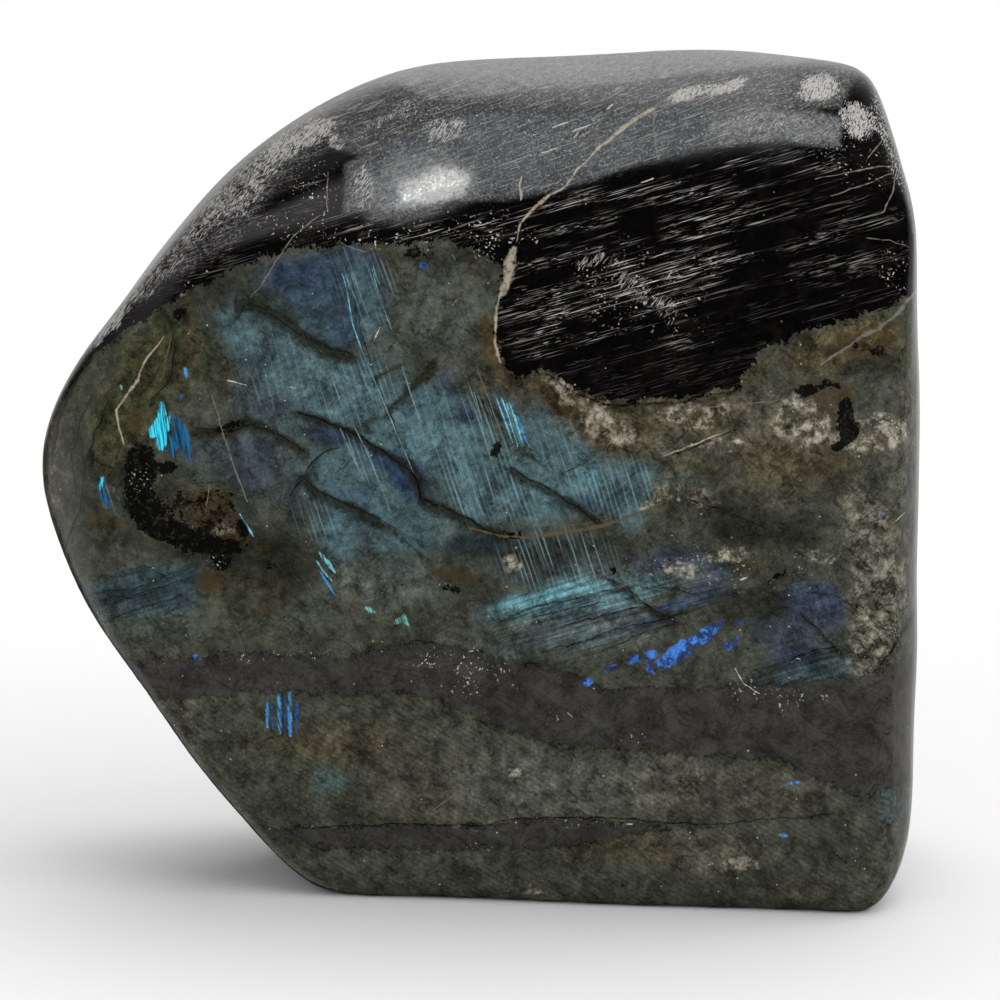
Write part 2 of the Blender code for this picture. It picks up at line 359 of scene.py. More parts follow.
# Crisp or textured patches on the front, as ovals of the same kind
FRONT_PATCHES = {
    "lamellae": [
        (348, 392, 46, 36, 20, 0.8), (318, 520, 32, 20, -70, 0.6), (362, 455, 42, 15, -65, 0.6),
        (470, 490, 36, 28, -70, 1.0), (510, 492, 34, 28, -70, 0.9), (556, 560, 56, 28, 0, 0.9),
        (558, 452, 28, 15, -70, 0.8), (622, 487, 36, 34, 0, 0.7), (583, 487, 20, 20, 0, 0.5),
        (362, 290, 50, 24, -70, 0.6), (430, 430, 50, 40, -70, 0.35), (487, 418, 44, 24, -72, 0.8),
        (270, 370, 44, 44, 0, 0.3), (115, 495, 20, 15, 0, 0.5), (385, 275, 30, 13, -70, 0.7),
    ],
    "fans": [
        (570, 612, 84, 34, 12, 1.0), (680, 590, 52, 30, 15, 0.8), (800, 660, 60, 28, 16, 0.7),
        (150, 590, 62, 38, 18, 0.45), (620, 642, 64, 13, 15, 0.7), (820, 600, 44, 22, -5, 0.5),
        (380, 600, 30, 12, -30, 0.3),
    ],
    "rust": [
        (485, 345, 26, 13, -75, 0.6), (212, 580, 22, 14, 0, 0.7), (127, 426, 14, 8, 90, 0.9),
        (240, 535, 44, 12, -20, 0.5), (105, 523, 26, 7, -5, 0.6), (455, 577, 22, 8, -15, 0.9),
        (585, 415, 40, 14, -30, 0.5), (855, 345, 56, 15, 18, 0.5), (260, 608, 16, 10, 0, 0.5),
        (640, 850, 60, 14, 0, 0.35), (437, 790, 10, 5, 0, 0.7), (826, 398, 32, 20, 0, 0.7),
        (840, 440, 26, 24, 90, 0.6), (210, 510, 40, 20, -20, 0.5), (640, 752, 30, 8, 0, 0.3),
        (760, 560, 24, 10, 10, 0.5), (830, 480, 40, 26, 0, 0.35), (350, 610, 16, 12, 0, 0.4),
    ],
    "pale": [
        (560, 388, 24, 12, -40, 0.6), (608, 424, 34, 14, -20, 0.75), (600, 402, 20, 8, 0, 0.4),
        (700, 412, 44, 15, 0, 0.5), (797, 418, 24, 20, 30, 1.0), (812, 430, 20, 12, 60, 1.0),
        (727, 446, 24, 9, 0, 0.9), (862, 436, 40, 20, 10, 0.8), (885, 428, 18, 12, 0, 0.6),
        (680, 497, 34, 13, -20, 0.5), (868, 520, 44, 36, 90, 0.16), (878, 620, 64, 26, 90, 0.2),
        (690, 570, 36, 9, -12, 0.6), (735, 552, 28, 8, 10, 0.7), (650, 506, 14, 6, 10, 0.7),
        (820, 560, 20, 12, 0, 0.5), (515, 775, 8, 4, 0, 1.0), (735, 863, 26, 6, 0, 0.6),
        (515, 562, 16, 8, 10, 0.6), (205, 515, 34, 14, -20, 0.25), (222, 528, 16, 7, 0, 0.35),
        (855, 655, 12, 10, 0, 0.8), (700, 778, 10, 5, -50, 0.8), (185, 290, 8, 10, 0, 0.8),
        (528, 888, 10, 6, 0, 0.8),
    ],
    "dark": [
        (142, 470, 28, 15, -78, 1.0), (150, 505, 32, 17, -62, 1.0), (174, 530, 36, 12, -18, 1.0),
        (214, 543, 38, 9, -4, 1.0), (206, 508, 48, 26, -20, 0.42), (166, 466, 12, 6, 0, 0.95),
        (225, 555, 14, 12, -50, 0.8), (246, 524, 7, 9, 0, 0.9), (206, 523, 10, 5, 0, 0.8),
        (808, 390, 15, 4, 12, 0.8), (828, 384, 9, 4, -10, 0.7), (841, 416, 18, 11, 76, 1.0),
        (846, 432, 13, 11, 70, 1.0), (834, 447, 10, 6, 40, 0.85), (492, 447, 6, 7, 0, 1.0),
        (228, 430, 16, 4, 0, 0.8), (90, 460, 5, 14, 0, 0.6), (176, 292, 14, 7, 35, 0.8),
        (182, 318, 10, 5, 30, 0.7), (512, 538, 8, 4, 0, 0.8), (266, 562, 6, 8, 0, 0.7),
        (612, 567, 4, 4, 0, 0.9), (450, 592, 10, 5, 0, 0.5), (780, 575, 10, 4, 20, 0.5),
        (870, 352, 18, 10, 0, 0.5), (420, 248, 16, 8, 0, 0.6),
    ],
    "royal": [
        (590, 680, 7, 5, 20, 0.9), (614, 670, 8, 4, 20, 0.75), (636, 659, 12, 6, 12, 0.9),
        (656, 656, 10, 6, 30, 0.9), (660, 668, 16, 6, 12, 0.95), (684, 653, 24, 8, 34, 0.95),
        (704, 638, 20, 8, 34, 1.0), (718, 629, 10, 5, 30, 0.9), (738, 624, 7, 5, 20, 0.9),
        (734, 643, 11, 4, 20, 0.9), (196, 658, 6, 4, -20, 0.9), (180, 295, 4, 5, 0, 0.8),
        (423, 262, 7, 5, 0, 0.8),
    ],
    "glow": [
        (159, 418, 20, 5, 86, 1.0), (152, 429, 13, 6, 60, 0.95), (160, 436, 14, 6, 90, 0.95),
        (166, 424, 12, 3, 80, 0.7), (101, 486, 8, 3, 75, 0.6),
    ],
    "pool": [(181, 434, 25, 8, -72, 0.85), (172, 444, 16, 5, 90, 0.75), (105, 500, 11, 6, -50, 0.7)],
    "streaks": [
        (630, 258, 130, 62, 12, 0.95), (560, 330, 60, 30, 0, 0.5), (680, 190, 150, 24, 10, 0.9),
        (830, 240, 60, 50, 15, 0.3), (430, 222, 90, 14, 0, 0.8), (300, 205, 40, 40, 0, 0.15),
        (150, 270, 90, 16, 48, 0.6), (640, 300, 60, 26, -40, 0.9), (230, 230, 60, 22, 45, 0.4),
    ],
    "flecks": [
        (310, 200, 46, 24, 60, 0.8), (420, 232, 90, 16, 0, 0.8), (500, 235, 36, 26, 0, 1.0),
        (460, 672, 56, 24, 0, 0.6), (560, 710, 24, 6, 0, 0.5), (634, 744, 24, 8, 0, 0.8),
        (740, 684, 30, 14, -40, 0.8), (785, 697, 50, 14, 0, 0.8), (170, 608, 10, 8, -30, 1.0),
        (180, 628, 14, 8, 0, 0.8), (900, 270, 40, 26, 90, 0.6), (140, 470, 30, 14, -80, 0.6),
        (218, 558, 14, 10, 0, 0.8), (885, 428, 20, 14, 0, 0.8), (800, 420, 20, 14, 0, 0.5),
        (185, 287, 12, 8, 0, 0.9), (290, 225, 40, 12, 0, 0.8), (640, 290, 70, 44, -20, 0.8),
        (400, 780, 300, 60, 0, 0.12), (570, 822, 60, 8, 0, 0.6), (280, 655, 50, 8, 0, 0.6),
        (400, 115, 60, 14, 25, 0.8), (445, 130, 26, 20, 0, 0.9), (560, 130, 60, 24, 0, 0.5),
        (860, 150, 50, 40, 0, 0.5), (480, 842, 16, 14, 0, 0.7), (700, 565, 120, 30, 0, 0.4),
        (590, 72, 50, 10, 0, 0.5), (880, 650, 40, 20, 60, 0.4), (450, 585, 16, 8, 0, 0.6),
    ],
    # Scuffs, and on the crown painted highlights on the bevels and painted reflections on the rims
    "scuffs_and_highlights": [
        (690, 92, 28, 9, 25, 1.0), (725, 86, 26, 10, 25, 1.0), (818, 90, 22, 17, 0, 1.0),
        (858, 121, 22, 18, -35, 1.0), (304, 134, 44, 20, 22, 1.0), (285, 150, 30, 16, 50, 0.8),
        (446, 128, 22, 15, 20, 0.85), (432, 182, 46, 16, 12, 0.9), (362, 186, 14, 24, 0, 0.8),
        (446, 192, 26, 8, 10, 1.0), (765, 126, 56, 14, 5, 0.55), (580, 128, 34, 10, 18, 0.55),
        (395, 112, 54, 9, 25, 0.62), (240, 190, 62, 26, 50, 0.78), (886, 130, 70, 10, -74, 0.75),
        (600, 66, 70, 8, 0, 0.3), (160, 268, 80, 14, 48, 0.72), (108, 330, 30, 8, 48, 0.9),
        (650, 298, 50, 14, -46, 0.6), (600, 262, 36, 9, 5, 0.6), (338, 145, 8, 10, 0, 0.8),
        (60, 400, 60, 6, 66, 0.4),
    ],
}

# Cracks on the front, each with a soft shade: tint, half width, half width of the shade, strength of the
# shade, points. The widths are in millimetres. The shade lies mostly to the right of the way that the points
# run, which is below a crack that is written from left to right.
FRONT_CRACKS = [
    (DARK_OLIVE, 0.10, 1.5, 0.85, [(246, 302), (262, 308), (280, 320), (304, 337), (329, 348), (352, 354)]),
    (BLACK, 0.16, 0.7, 0.5, [(375, 382), (390, 415), (409, 458), (424, 505)]),
    (BLACK, 0.20, 1.2, 0.75, [(298, 412), (323, 420), (348, 430), (367, 441), (388, 455), (409, 470)]),
    (BLACK, 0.20, 1.5, 0.75,
     [(409, 470), (418, 482), (422, 500), (446, 508), (466, 518), (482, 528), (504, 536)]),
    (DARK_OLIVE, 0.12, 1.5, 0.80, [(304, 478), (316, 490), (335, 499), (355, 508), (376, 517)]),
    (DARK_OLIVE, 0.10, 1.0, 0.50, [(376, 517), (395, 528), (411, 546), (424, 556)]),
    (DARK_OLIVE, 0.12, 1.3, 0.70, [(195, 428), (230, 432), (251, 424), (268, 430), (289, 441), (306, 452)]),
    (BLACK, 0.13, 0.5, 0.4, [(304, 474), (312, 462), (324, 452), (340, 448)]),
    (BLACK, 0.13, 0.5, 0.4, [(289, 497), (296, 486), (304, 478)]),
    (BROWN, 0.13, 0.9, 0.5, [(374, 381), (386, 372), (402, 366)]),
    (BROWN, 0.16, 1.2, 0.6, [(386, 412), (394, 404), (404, 396), (412, 388), (426, 377), (434, 362)]),
    (BROWN, 0.14, 0.8, 0.5, [(364, 426), (370, 420), (378, 416)]),
    (DARK_OLIVE, 0.14, 1.2, 0.7,
     [(511, 467), (526, 478), (545, 486), (562, 498), (580, 508), (592, 518), (603, 527)]),
    (BROWN, 0.10, 0.9, 0.5, [(518, 452), (534, 458), (548, 468)]),
    (DARK_OLIVE, 0.10, 0.5, 0.4, [(556, 488), (564, 472), (582, 464)]),
    (BLACK, 0.12, 0.5, 0.4, [(662, 459), (693, 448), (719, 437), (733, 430)]),
    (DARK_OLIVE, 0.13, 1.0, 0.6, [(603, 577), (626, 586), (640, 600), (656, 612), (674, 618)]),
    (DARK_OLIVE, 0.13, 0.9, 0.6, [(800, 612), (822, 633), (842, 655)]),
    (DARK_OLIVE, 0.10, 0.6, 0.4, [(806, 592), (836, 596), (858, 608)]),
    (BLACK, 0.12, 0.7, 0.5, [(752, 672), (785, 662), (817, 649), (838, 646)]),
    (BLACK, 0.11, 0.7, 0.5, [(500, 622), (536, 606), (575, 599), (618, 588)]),
    (BLACK, 0.11, 0.8, 0.5, [(540, 652), (580, 642), (618, 628), (660, 620), (690, 612)]),
    (BLACK, 0.10, 0.5, 0.4, [(530, 618), (566, 610), (606, 602)]),
    (BLACK, 0.10, 0.5, 0.4, [(600, 652), (640, 634), (676, 624)]),
    (BLACK, 0.10, 0.5, 0.4, [(560, 628), (600, 616), (650, 606)]),
    (BLACK, 0.10, 0.5, 0.4, [(640, 586), (672, 588), (700, 594)]),
    (BLACK, 0.22, 1.2, 0.6, [(880, 665), (892, 650), (902, 632), (908, 622), (922, 600)]),
    (DARK_OLIVE, 0.08, 0.7, 0.5, [(94, 592), (131, 589), (165, 576), (196, 562)]),
    (DARK_OLIVE, 0.08, 0.7, 0.4, [(118, 602), (149, 590), (190, 578)]),
    (DARK_OLIVE, 0.07, 0.6, 0.4, [(110, 620), (145, 606), (185, 592)]),
    (DARK_OLIVE, 0.07, 0.6, 0.4, [(104, 580), (130, 572), (156, 566)]),
    (BLACK, 0.20, 0.9, 0.6,
     [(246, 540), (226, 546), (206, 542), (180, 541), (154, 538), (140, 520), (124, 498)]),
    (BLACK, 0.14, 0.5, 0.4, [(165, 402), (170, 430), (176, 462)]),
    (BLACK, 0.12, 0.9, 0.45,
     [(300, 828), (400, 824), (480, 826), (520, 818), (600, 817), (700, 825), (832, 815)]),
    (BLACK, 0.12, 0.6, 0.5, [(60, 560), (80, 510), (85, 470), (95, 430), (110, 400)]),
    (BLACK, 0.12, 0.6, 0.4, [(76, 500), (72, 460), (80, 420), (92, 395)]),
    (BLACK, 0.18, 0.8, 0.6, [(98, 338), (85, 362), (72, 390), (60, 420), (54, 450)]),
    (BLACK, 0.16, 0.8, 0.6, [(545, 373), (575, 393), (605, 405), (680, 403), (738, 389)]),
    (BLACK, 0.10, 0.6, 0.4, [(690, 500), (730, 512), (770, 530)]),
    (DARK_OLIVE, 0.10, 1.0, 0.5, [(150, 400), (170, 380), (175, 350), (172, 335)]),
    (DARK_OLIVE, 0.10, 0.9, 0.5, [(256, 300), (245, 306), (238, 318)]),
    (DARK_OLIVE, 0.04, 1.1, 0.40, [(264, 330), (268, 350), (252, 372), (246, 400), (246, 425)]),
    (DARK_OLIVE, 0.04, 0.9, 0.35, [(318, 372), (300, 392), (304, 412)]),
    (DARK_OLIVE, 0.04, 1.2, 0.30, [(380, 255), (384, 300), (398, 340), (420, 372)]),
    (DARK_OLIVE, 0.09, 0.5, 0.45, [(348, 262), (354, 290), (359, 324), (370, 360), (376, 380)]),
]

# Thin pale lines on the front, and healed cracks: tint, half width in millimetres, points
FRONT_VEINS = [
    (CREAM, 0.70, [(514, 249), (510, 262), (509, 276), (504, 290), (500, 296)]),
    (CREAM, 0.22, [(500, 296), (497, 308), (496, 322), (495, 345), (500, 362)]),
    (CREAM, 0.20, [(516, 244), (520, 224), (534, 208), (548, 196), (566, 186), (576, 170), (592, 155)]),
    (CREAM, 0.28, [(592, 155), (600, 146), (614, 136), (626, 126), (640, 116), (655, 108)]),
    (CREAM, 0.16, [(521, 200), (519, 186), (522, 176)]),
    (ASH, 0.14, [(655, 108), (680, 101), (702, 98)]),
    (ASH, 0.20, [(655, 108), (654, 130), (658, 160)]),
    (ASH, 0.10, [(531, 132), (533, 150), (536, 166)]),
    (ASH, 0.26,
     [(930, 286), (917, 291), (905, 304), (893, 318), (880, 328), (862, 336), (840, 352), (820, 365)]),
    (TAN, 0.24,
     [(470, 528), (500, 536), (525, 538), (552, 534), (580, 530), (603, 526), (630, 516), (662, 503)]),
    (CREAM, 0.18, [(164, 336), (145, 361), (135, 384), (116, 410), (118, 422), (124, 445)]),
    (TAN, 0.14, [(172, 335), (165, 360), (163, 378)]),
    (ASH, 0.12, [(293, 237), (285, 248), (275, 262), (262, 285), (250, 298)]),
    (ASH, 0.10, [(338, 240), (350, 247), (366, 252)]),
    (ASH, 0.12, [(212, 395), (222, 430), (230, 455), (238, 478), (248, 503)]),
    (ASH, 0.07, [(210, 482), (206, 512)]),
    (ASH, 0.08, [(700, 408), (745, 404), (790, 398)]),
    (CREAM, 0.12, [(662, 456), (693, 445), (719, 434)]),
    (ASH, 0.12, [(182, 233), (204, 222), (224, 206)]),
    (ASH, 0.09, [(327, 215), (327, 190), (328, 172)]),
    (ASH, 0.08, [(322, 214), (300, 230), (290, 240)]),
    (ASH, 0.10, [(815, 179), (850, 172), (880, 166), (897, 167)]),
    (ASH, 0.10, [(830, 196), (858, 187), (893, 173)]),
    (ASH, 0.10, [(897, 170), (893, 192), (884, 212), (862, 218), (840, 223)]),
    (ASH, 0.09, [(868, 158), (876, 148), (884, 138)]),
    (ASH, 0.09, [(866, 238), (890, 240), (910, 248)]),
    (SILVER, 0.09, [(373, 342), (380, 327)]),
    (SILVER, 0.10, [(226, 380), (246, 385)]),
    (SILVER, 0.08, [(288, 387), (296, 388)]),
    (SILVER, 0.12, [(740, 580), (748, 577)]),
    (SILVER, 0.10, [(735, 668), (744, 684), (760, 694)]),
    (SILVER, 0.10, [(796, 658), (802, 660)]),
    (SILVER, 0.08, [(895, 522), (905, 512)]),
    (ASH, 0.08, [(430, 812), (448, 800), (464, 788)]),
    (SILVER, 0.10, [(640, 183), (654, 178)]),
    (SILVER, 0.12, [(540, 153), (558, 148)]),
    (SILVER, 0.10, [(572, 132), (592, 124)]),
    (SILVER, 0.10, [(552, 128), (568, 122)]),
    (SILVER, 0.12, [(606, 110), (613, 104)]),
    (SILVER, 0.10, [(626, 824), (633, 824)]),
]

# Flashes on the front: tint, half width in millimetres, points
FRONT_FLASHES = [
    (SKY, 0.36, [(185, 368), (186, 378)]),
    (DEEP_BLUE, 0.26, [(181, 394), (180, 401)]),
    (SEA_GREEN, 0.24, [(120, 384), (121, 389)]),
    (PALE_TEAL, 0.12, [(116, 484), (112, 494)]),
    (ICE, 0.16, [(240, 514), (254, 537)]),
    (ICE, 0.30, [(320, 553), (327, 562), (335, 572)]),
    (ICE, 0.14, [(316, 560), (324, 572), (332, 581)]),
    (SKY, 0.20, [(320, 572), (328, 584), (335, 595)]),
    (PALE_TEAL, 0.10, [(308, 582), (312, 589)]),
    (SKY, 0.24, [(267, 700), (267, 728)]),
    (SKY, 0.34, [(279, 694), (280, 734)]),
    (SKY, 0.34, [(290, 692), (290, 736)]),
    (DEEP_BLUE, 0.28, [(297, 702), (297, 732)]),
    (DEEP_BLUE, 0.18, [(272, 700), (273, 730)]),
    (DEEP_BLUE, 0.18, [(285, 698), (285, 732)]),
    (ICE, 0.16, [(495, 394), (504, 418), (513, 443)]),
    (ICE, 0.16, [(501, 397), (510, 420), (518, 446)]),
    (ICE, 0.42, [(508, 404), (516, 424), (522, 446)]),
    (SKY, 0.24, [(517, 416), (524, 434), (529, 446)]),
    (DEEP_BLUE, 0.26, [(546, 412), (548, 415)]),
    (SKY, 0.30, [(788, 784), (799, 782)]),
    (SKY, 0.26, [(779, 835), (788, 836)]),
    (SEA_GREEN, 0.40, [(366, 608), (374, 612)]),
    (SEA_GREEN, 0.55, [(396, 622), (404, 618), (408, 624)]),
    (ICE, 0.12, [(373, 265), (376, 276), (380, 286)]),
    (ICE, 0.10, [(452, 254), (456, 261)]),
    (PALE_TEAL, 0.10, [(452, 306), (458, 298)]),
    (ICE, 0.12, [(342, 273), (347, 290), (350, 310), (353, 325), (360, 345), (366, 362)]),
    (PALE_TEAL, 0.12, [(366, 362), (376, 384), (386, 408), (398, 436), (414, 474)]),
    (PALE_TEAL, 0.10, [(350, 418), (366, 450), (380, 484), (390, 512)]),
    (PALE_TEAL, 0.09, [(340, 428), (352, 455), (366, 484)]),
    (PALE_TEAL, 0.09, [(474, 392), (480, 412), (486, 444)]),
    (PALE_TEAL, 0.09, [(486, 400), (494, 420), (500, 440)]),
    (PALE_TEAL, 0.09, [(402, 366), (410, 392), (420, 420)]),
    (PALE_TEAL, 0.08, [(372, 268), (380, 300), (392, 330)]),
    (PALE_TEAL, 0.08, [(346, 276), (356, 300), (364, 322)]),
]

# The back's markings, in millimetres across and up, as seen through the stone from the front
BACK_RIND = [
    (-90, 84), (-66, 88), (-48, 97), (-30, 104), (-12, 101), (4, 108), (22, 104), (40, 96), (58, 92),
    (90, 100), (90, 170), (-90, 170),
]
BACK_BAND = [
    (-90, 31), (-50, 34), (-20, 30), (10, 34), (40, 28), (90, 33), (90, 20), (48, 17), (20, 24), (-10, 20),
    (-40, 25), (-90, 22),
]
# The back's facets, whose grays are partly painted reflection, as on the front
BACK_SHEETS = [
    ("bevel", 2.0, [(-90, 112), (90, 116), (90, 170), (-90, 170)]),
    ("slab", 2.0, [(-34, 114), (0, 110), (60, 112), (66, 126), (0, 130), (-30, 126)]),
    ("top", 2.0, [(-60, 134), (80, 137), (80, 170), (-60, 170)]),
    ("worn", 2.5, [(62, 90), (90, 90), (90, 140), (66, 132)]),
]
BACK_SHADES = {
    "olive": [(20, 60, 40, 16, 0, 0.6), (-30, 14, 40, 10, 0, 0.6), (40, 12, 30, 8, 0, 0.5)],
    "moss": [(-56, 66, 24, 12, 80, 0.9), (52, 80, 14, 12, 0, 0.6)],
    "gray": [(-10, 92, 40, 8, 0, 0.8), (0, 42, 40, 7, 0, 0.7), (30, 48, 26, 10, 0, 0.6)],
    "slate": [(-30, 70, 30, 20, 10, 0.9), (26, 76, 26, 16, 20, 0.8), (0, 60, 36, 14, -10, 0.8)],
    "steel": [(-20, 86, 20, 8, 10, 0.9), (30, 88, 16, 6, 20, 0.8)],
    "teal": [
        (-26, 74, 20, 13, 20, 1.0), (4, 62, 20, 12, -15, 0.9), (34, 76, 16, 12, 30, 0.9),
        (-8, 46, 24, 6, 8, 0.6),
    ],
    "mist": [(-24, 76, 10, 8, 20, 0.6), (8, 62, 9, 8, 0, 0.7), (36, 78, 8, 8, 0, 0.6)],
    "aqua": [(36, 74, 5, 5, 0, 0.6), (-12, 46, 10, 2, 8, 0.7)],
    "navy": [(-8, 56, 12, 4, 8, 0.7), (22, 64, 10, 4, 30, 0.7)],
    "violet": [(-16, 86, 8, 5, 0, 0.7), (46, 66, 10, 5, 20, 0.7), (30, 42, 14, 3, 10, 0.5)],
    "deep": [(-40, 56, 10, 5, 0, 0.7)],
    "shade": [(-44, 84, 16, 5, 20, 0.6), (44, 54, 16, 6, 0, 0.6), (-10, 6, 40, 5, 0, 0.5)],
    "umber": [(-52, 52, 10, 6, 0, 0.6), (20, 96, 16, 3, -10, 0.6), (56, 72, 12, 6, 90, 0.6)],
    "gold": [
        (22, 98, 20, 5, -10, 0.8), (56, 84, 12, 9, 0, 0.7), (-36, 42, 14, 5, 10, 0.5),
        (58, 52, 14, 7, 90, 0.6),
    ],
    "sand": [(60, 50, 16, 7, 90, 0.9), (56, 86, 10, 6, 0, 0.6), (-60, 44, 12, 6, 70, 0.5)],
    "ink": [(-40, 62, 9, 5, 60, 0.6)],
}
BACK_PATCHES = {
    "lamellae": [
        (-26, 76, 16, 12, 20, 0.9), (6, 62, 14, 10, 0, 1.0), (36, 78, 12, 10, 0, 0.9),
        (-4, 84, 12, 8, 0, 0.5),
    ],
    "fans": [(-6, 46, 26, 8, 8, 1.0), (30, 44, 20, 7, 12, 0.8), (-50, 46, 14, 6, 20, 0.8)],
    "rust": [
        (-50, 70, 10, 5, 90, 0.7), (22, 52, 14, 4, 20, 0.5), (-14, 12, 20, 5, 0, 0.4),
        (56, 72, 12, 5, 90, 0.5),
    ],
    "pale": [
        (20, 98, 14, 4, -10, 0.8), (56, 84, 9, 7, 0, 0.8), (-36, 40, 12, 4, 10, 0.5),
        (60, 44, 12, 7, 90, 0.6),
    ],
    "dark": [
        (-12, 66, 14, 3, -30, 0.8), (24, 66, 12, 3, 40, 0.7), (-40, 62, 9, 5, 90, 0.9),
        (40, 58, 9, 4, 0, 0.6),
    ],
    "royal": [(36, 50, 10, 2.2, 25, 1.0), (28, 46, 3, 1.2, 20, 1.0), (46, 56, 3, 1.2, 30, 0.9)],
    "glow": [(-36, 76, 7, 2.4, 80, 1.0), (-34, 74, 4, 1.6, 70, 0.9)],
    "pool": [(-31, 75, 6, 3, -76, 1.0), (24, 84, 5, 2.4, -60, 0.8)],
    "streaks": [(0, 104, 70, 8, 0, 0.9), (-40, 98, 20, 8, 30, 0.7)],
    "flecks": [
        (0, 108, 60, 6, 0, 0.8), (-10, 28, 40, 5, 0, 0.6), (40, 90, 12, 8, 0, 0.6), (0, 60, 70, 60, 0, 0.1),
    ],
    "scuffs_and_highlights": [
        (-44, 108, 14, 5, 45, 0.8), (30, 126, 16, 6, 10, 0.9), (66, 118, 10, 5, 90, 0.7),
        (0, 114, 16, 4, 0, 0.5),
    ],
}
BACK_CRACKS = [
    (DARK_OLIVE, 0.22, 1.6, 0.8, [(-56, 84), (-40, 72), (-22, 66), (-6, 58), (12, 54), (30, 44)]),
    (BLACK, 0.20, 1.2, 0.7, [(2, 100), (8, 84), (20, 72), (30, 60), (50, 52)]),
    (BROWN, 0.20, 1.0, 0.6, [(-34, 96), (-30, 84), (-20, 74)]),
    (BLACK, 0.16, 0.7, 0.5, [(-58, 48), (-30, 46), (-4, 40), (24, 38), (60, 42)]),
    (DARK_OLIVE, 0.18, 1.0, 0.6, [(34, 94), (46, 80), (62, 74)]),
    (BLACK, 0.15, 0.6, 0.5, [(-26, 42), (-4, 47), (16, 50)]),
]
BACK_VEINS = [
    (CREAM, 0.36, [(24, 104), (30, 96), (28, 88), (34, 82)]),
    (TAN, 0.30, [(-60, 62), (-40, 58), (-16, 50), (4, 50)]),
    (ASH, 0.12, [(-20, 100), (-10, 80), (-4, 60)]),
    (ASH, 0.20, [(50, 130), (40, 118), (36, 108)]),
    (PALE_TEAL, 0.14, [(-30, 86), (-25, 72), (-20, 60)]),
]
BACK_FLASHES = [
    (ICE, 0.24, [(6, 70), (9, 62)]),
    (ICE, 0.24, [(9, 71), (12, 62)]),
    (SKY, 0.30, [(13, 70), (16, 61)]),
    (SKY, 0.34, [(-52, 36), (-51, 30)]),
    (SKY, 0.34, [(-50, 36), (-49, 30)]),
    (SEA_GREEN, 0.40, [(-14, 44), (-4, 47), (8, 48)]),
]


def smooth(values, low, high):
    """0 below low, 1 above high, and a soft step between."""
    t = np.clip((values - low) / (high - low), 0, 1)
    return t * t * (3 - 2 * t)


def to_mm(points):
    """Points of the picture, as millimetres on the upright plane through the stone's middle."""
    return [((x - FRAME_POINTS / 2) * MM_PER_POINT, (FRAME_POINTS / 2 - y) * MM_PER_POINT) for x, y in points]


def ovals_to_mm(ovals):
    """Ovals given in points of the picture, in millimetres."""
    moved = []
    for x, y, half_length, half_width, rise, strength in ovals:
        (mx, my), = to_mm([(x, y)])
        moved.append((mx, my, half_length * MM_PER_POINT, half_width * MM_PER_POINT, rise, strength))
    return moved


def lines_to_mm(lines):
    """Lines whose points, which come last, are points of the picture, in millimetres."""
    return [(*line[:-1], to_mm(line[-1])) for line in lines]


def seen_from_front(places):
    """Where the camera sees each place, in the same millimetres."""
    forward = (AIM - EYE).normalized()
    right = forward.cross(Vector((0, 0, 1))).normalized()
    up = right.cross(forward)
    offsets = places * MM - np.array(EYE)
    depth = offsets @ np.array(forward)
    scale = FRAME_POINTS * LENS / SENSOR * MM_PER_POINT / depth
    return np.column_stack([offsets @ np.array(right) * scale, offsets @ np.array(up) * scale])


def inside(places, outline):
    """Whether each place lies inside a closed outline."""
    odd = np.zeros(len(places), bool)
    x, y = places.T
    for (ax, ay), (bx, by) in zip(outline, outline[1:] + outline[:1]):
        if ay == by:
            continue
        crosses = (ay > y) != (by > y)
        odd ^= crosses & (x < (bx - ax) * (y - ay) / (by - ay) + ax)
    return odd


def way_from_stretch(places, a, b):
    """The way to each place from the nearest point of the stretch from a to b, and how far along that is."""
    a, run = np.array(a), np.array(b) - np.array(a)
    along = np.clip((places - a) @ run / (run @ run), 0, 1)
    return places - a - along[:, None] * run, along


def gap_to_line(places, points):
    """How far each place lies from a line through the points."""
    best = np.full(len(places), np.inf)
    for a, b in zip(points, points[1:]):
        way, _ = way_from_stretch(places, a, b)
        best = np.minimum(best, np.hypot(*way.T))
    return best


def right_of_line(places, points):
    """Whether each place lies to the right of a line's nearest stretch: below it, if it runs rightwards."""
    best, right = np.full(len(places), np.inf), np.zeros(len(places), bool)
    for a, b in zip(points, points[1:]):
        way, _ = way_from_stretch(places, a, b)
        gap = np.hypot(*way.T)
        nearer = gap < best
        best[nearer] = gap[nearer]
        from_a, run = places[nearer] - np.array(a), np.array(b) - np.array(a)
        right[nearer] = run[0] * from_a[:, 1] < run[1] * from_a[:, 0]
    return right


def depth_inside(places, outline):
    """How deep each place lies inside a closed outline, in millimetres: negative outside."""
    gap = gap_to_line(places, outline + outline[:1])
    return np.where(inside(places, outline), gap, -gap)


def oval_cover(places, ovals):
    """How fully soft ovals cover each place, from 0 to 1."""
    bare = np.ones(len(places))
    for x, y, half_length, half_width, rise, strength in ovals:
        turn = math.radians(rise)
        dx, dy = places[:, 0] - x, places[:, 1] - y
        along = (dx * math.cos(turn) + dy * math.sin(turn)) / half_length
        across = (dy * math.cos(turn) - dx * math.sin(turn)) / half_width
        bare *= 1 - strength * smooth(-np.hypot(along, across), -OVAL_END, -OVAL_CORE)
    return 1 - bare


def swirl(places):
    """A small shift for each place, by which soft patches lose their even outlines."""
    noise.seed_set(SWIRL_SEED)
    shift = np.zeros((len(places), 2))
    for size, reach in SWIRLS:
        moved = [noise.noise_vector(Vector(place) / size) for place in places]
        shift += np.array(moved)[:, [0, 2]] * reach
    return shift


def painted(base, covers):
    """A base colour with other colours laid over it in turn, each as fully as it covers."""
    colour = np.array(base)
    for tint, cover in covers:
        colour = colour + (np.array(tint) - colour) * cover[:, None]
    return colour


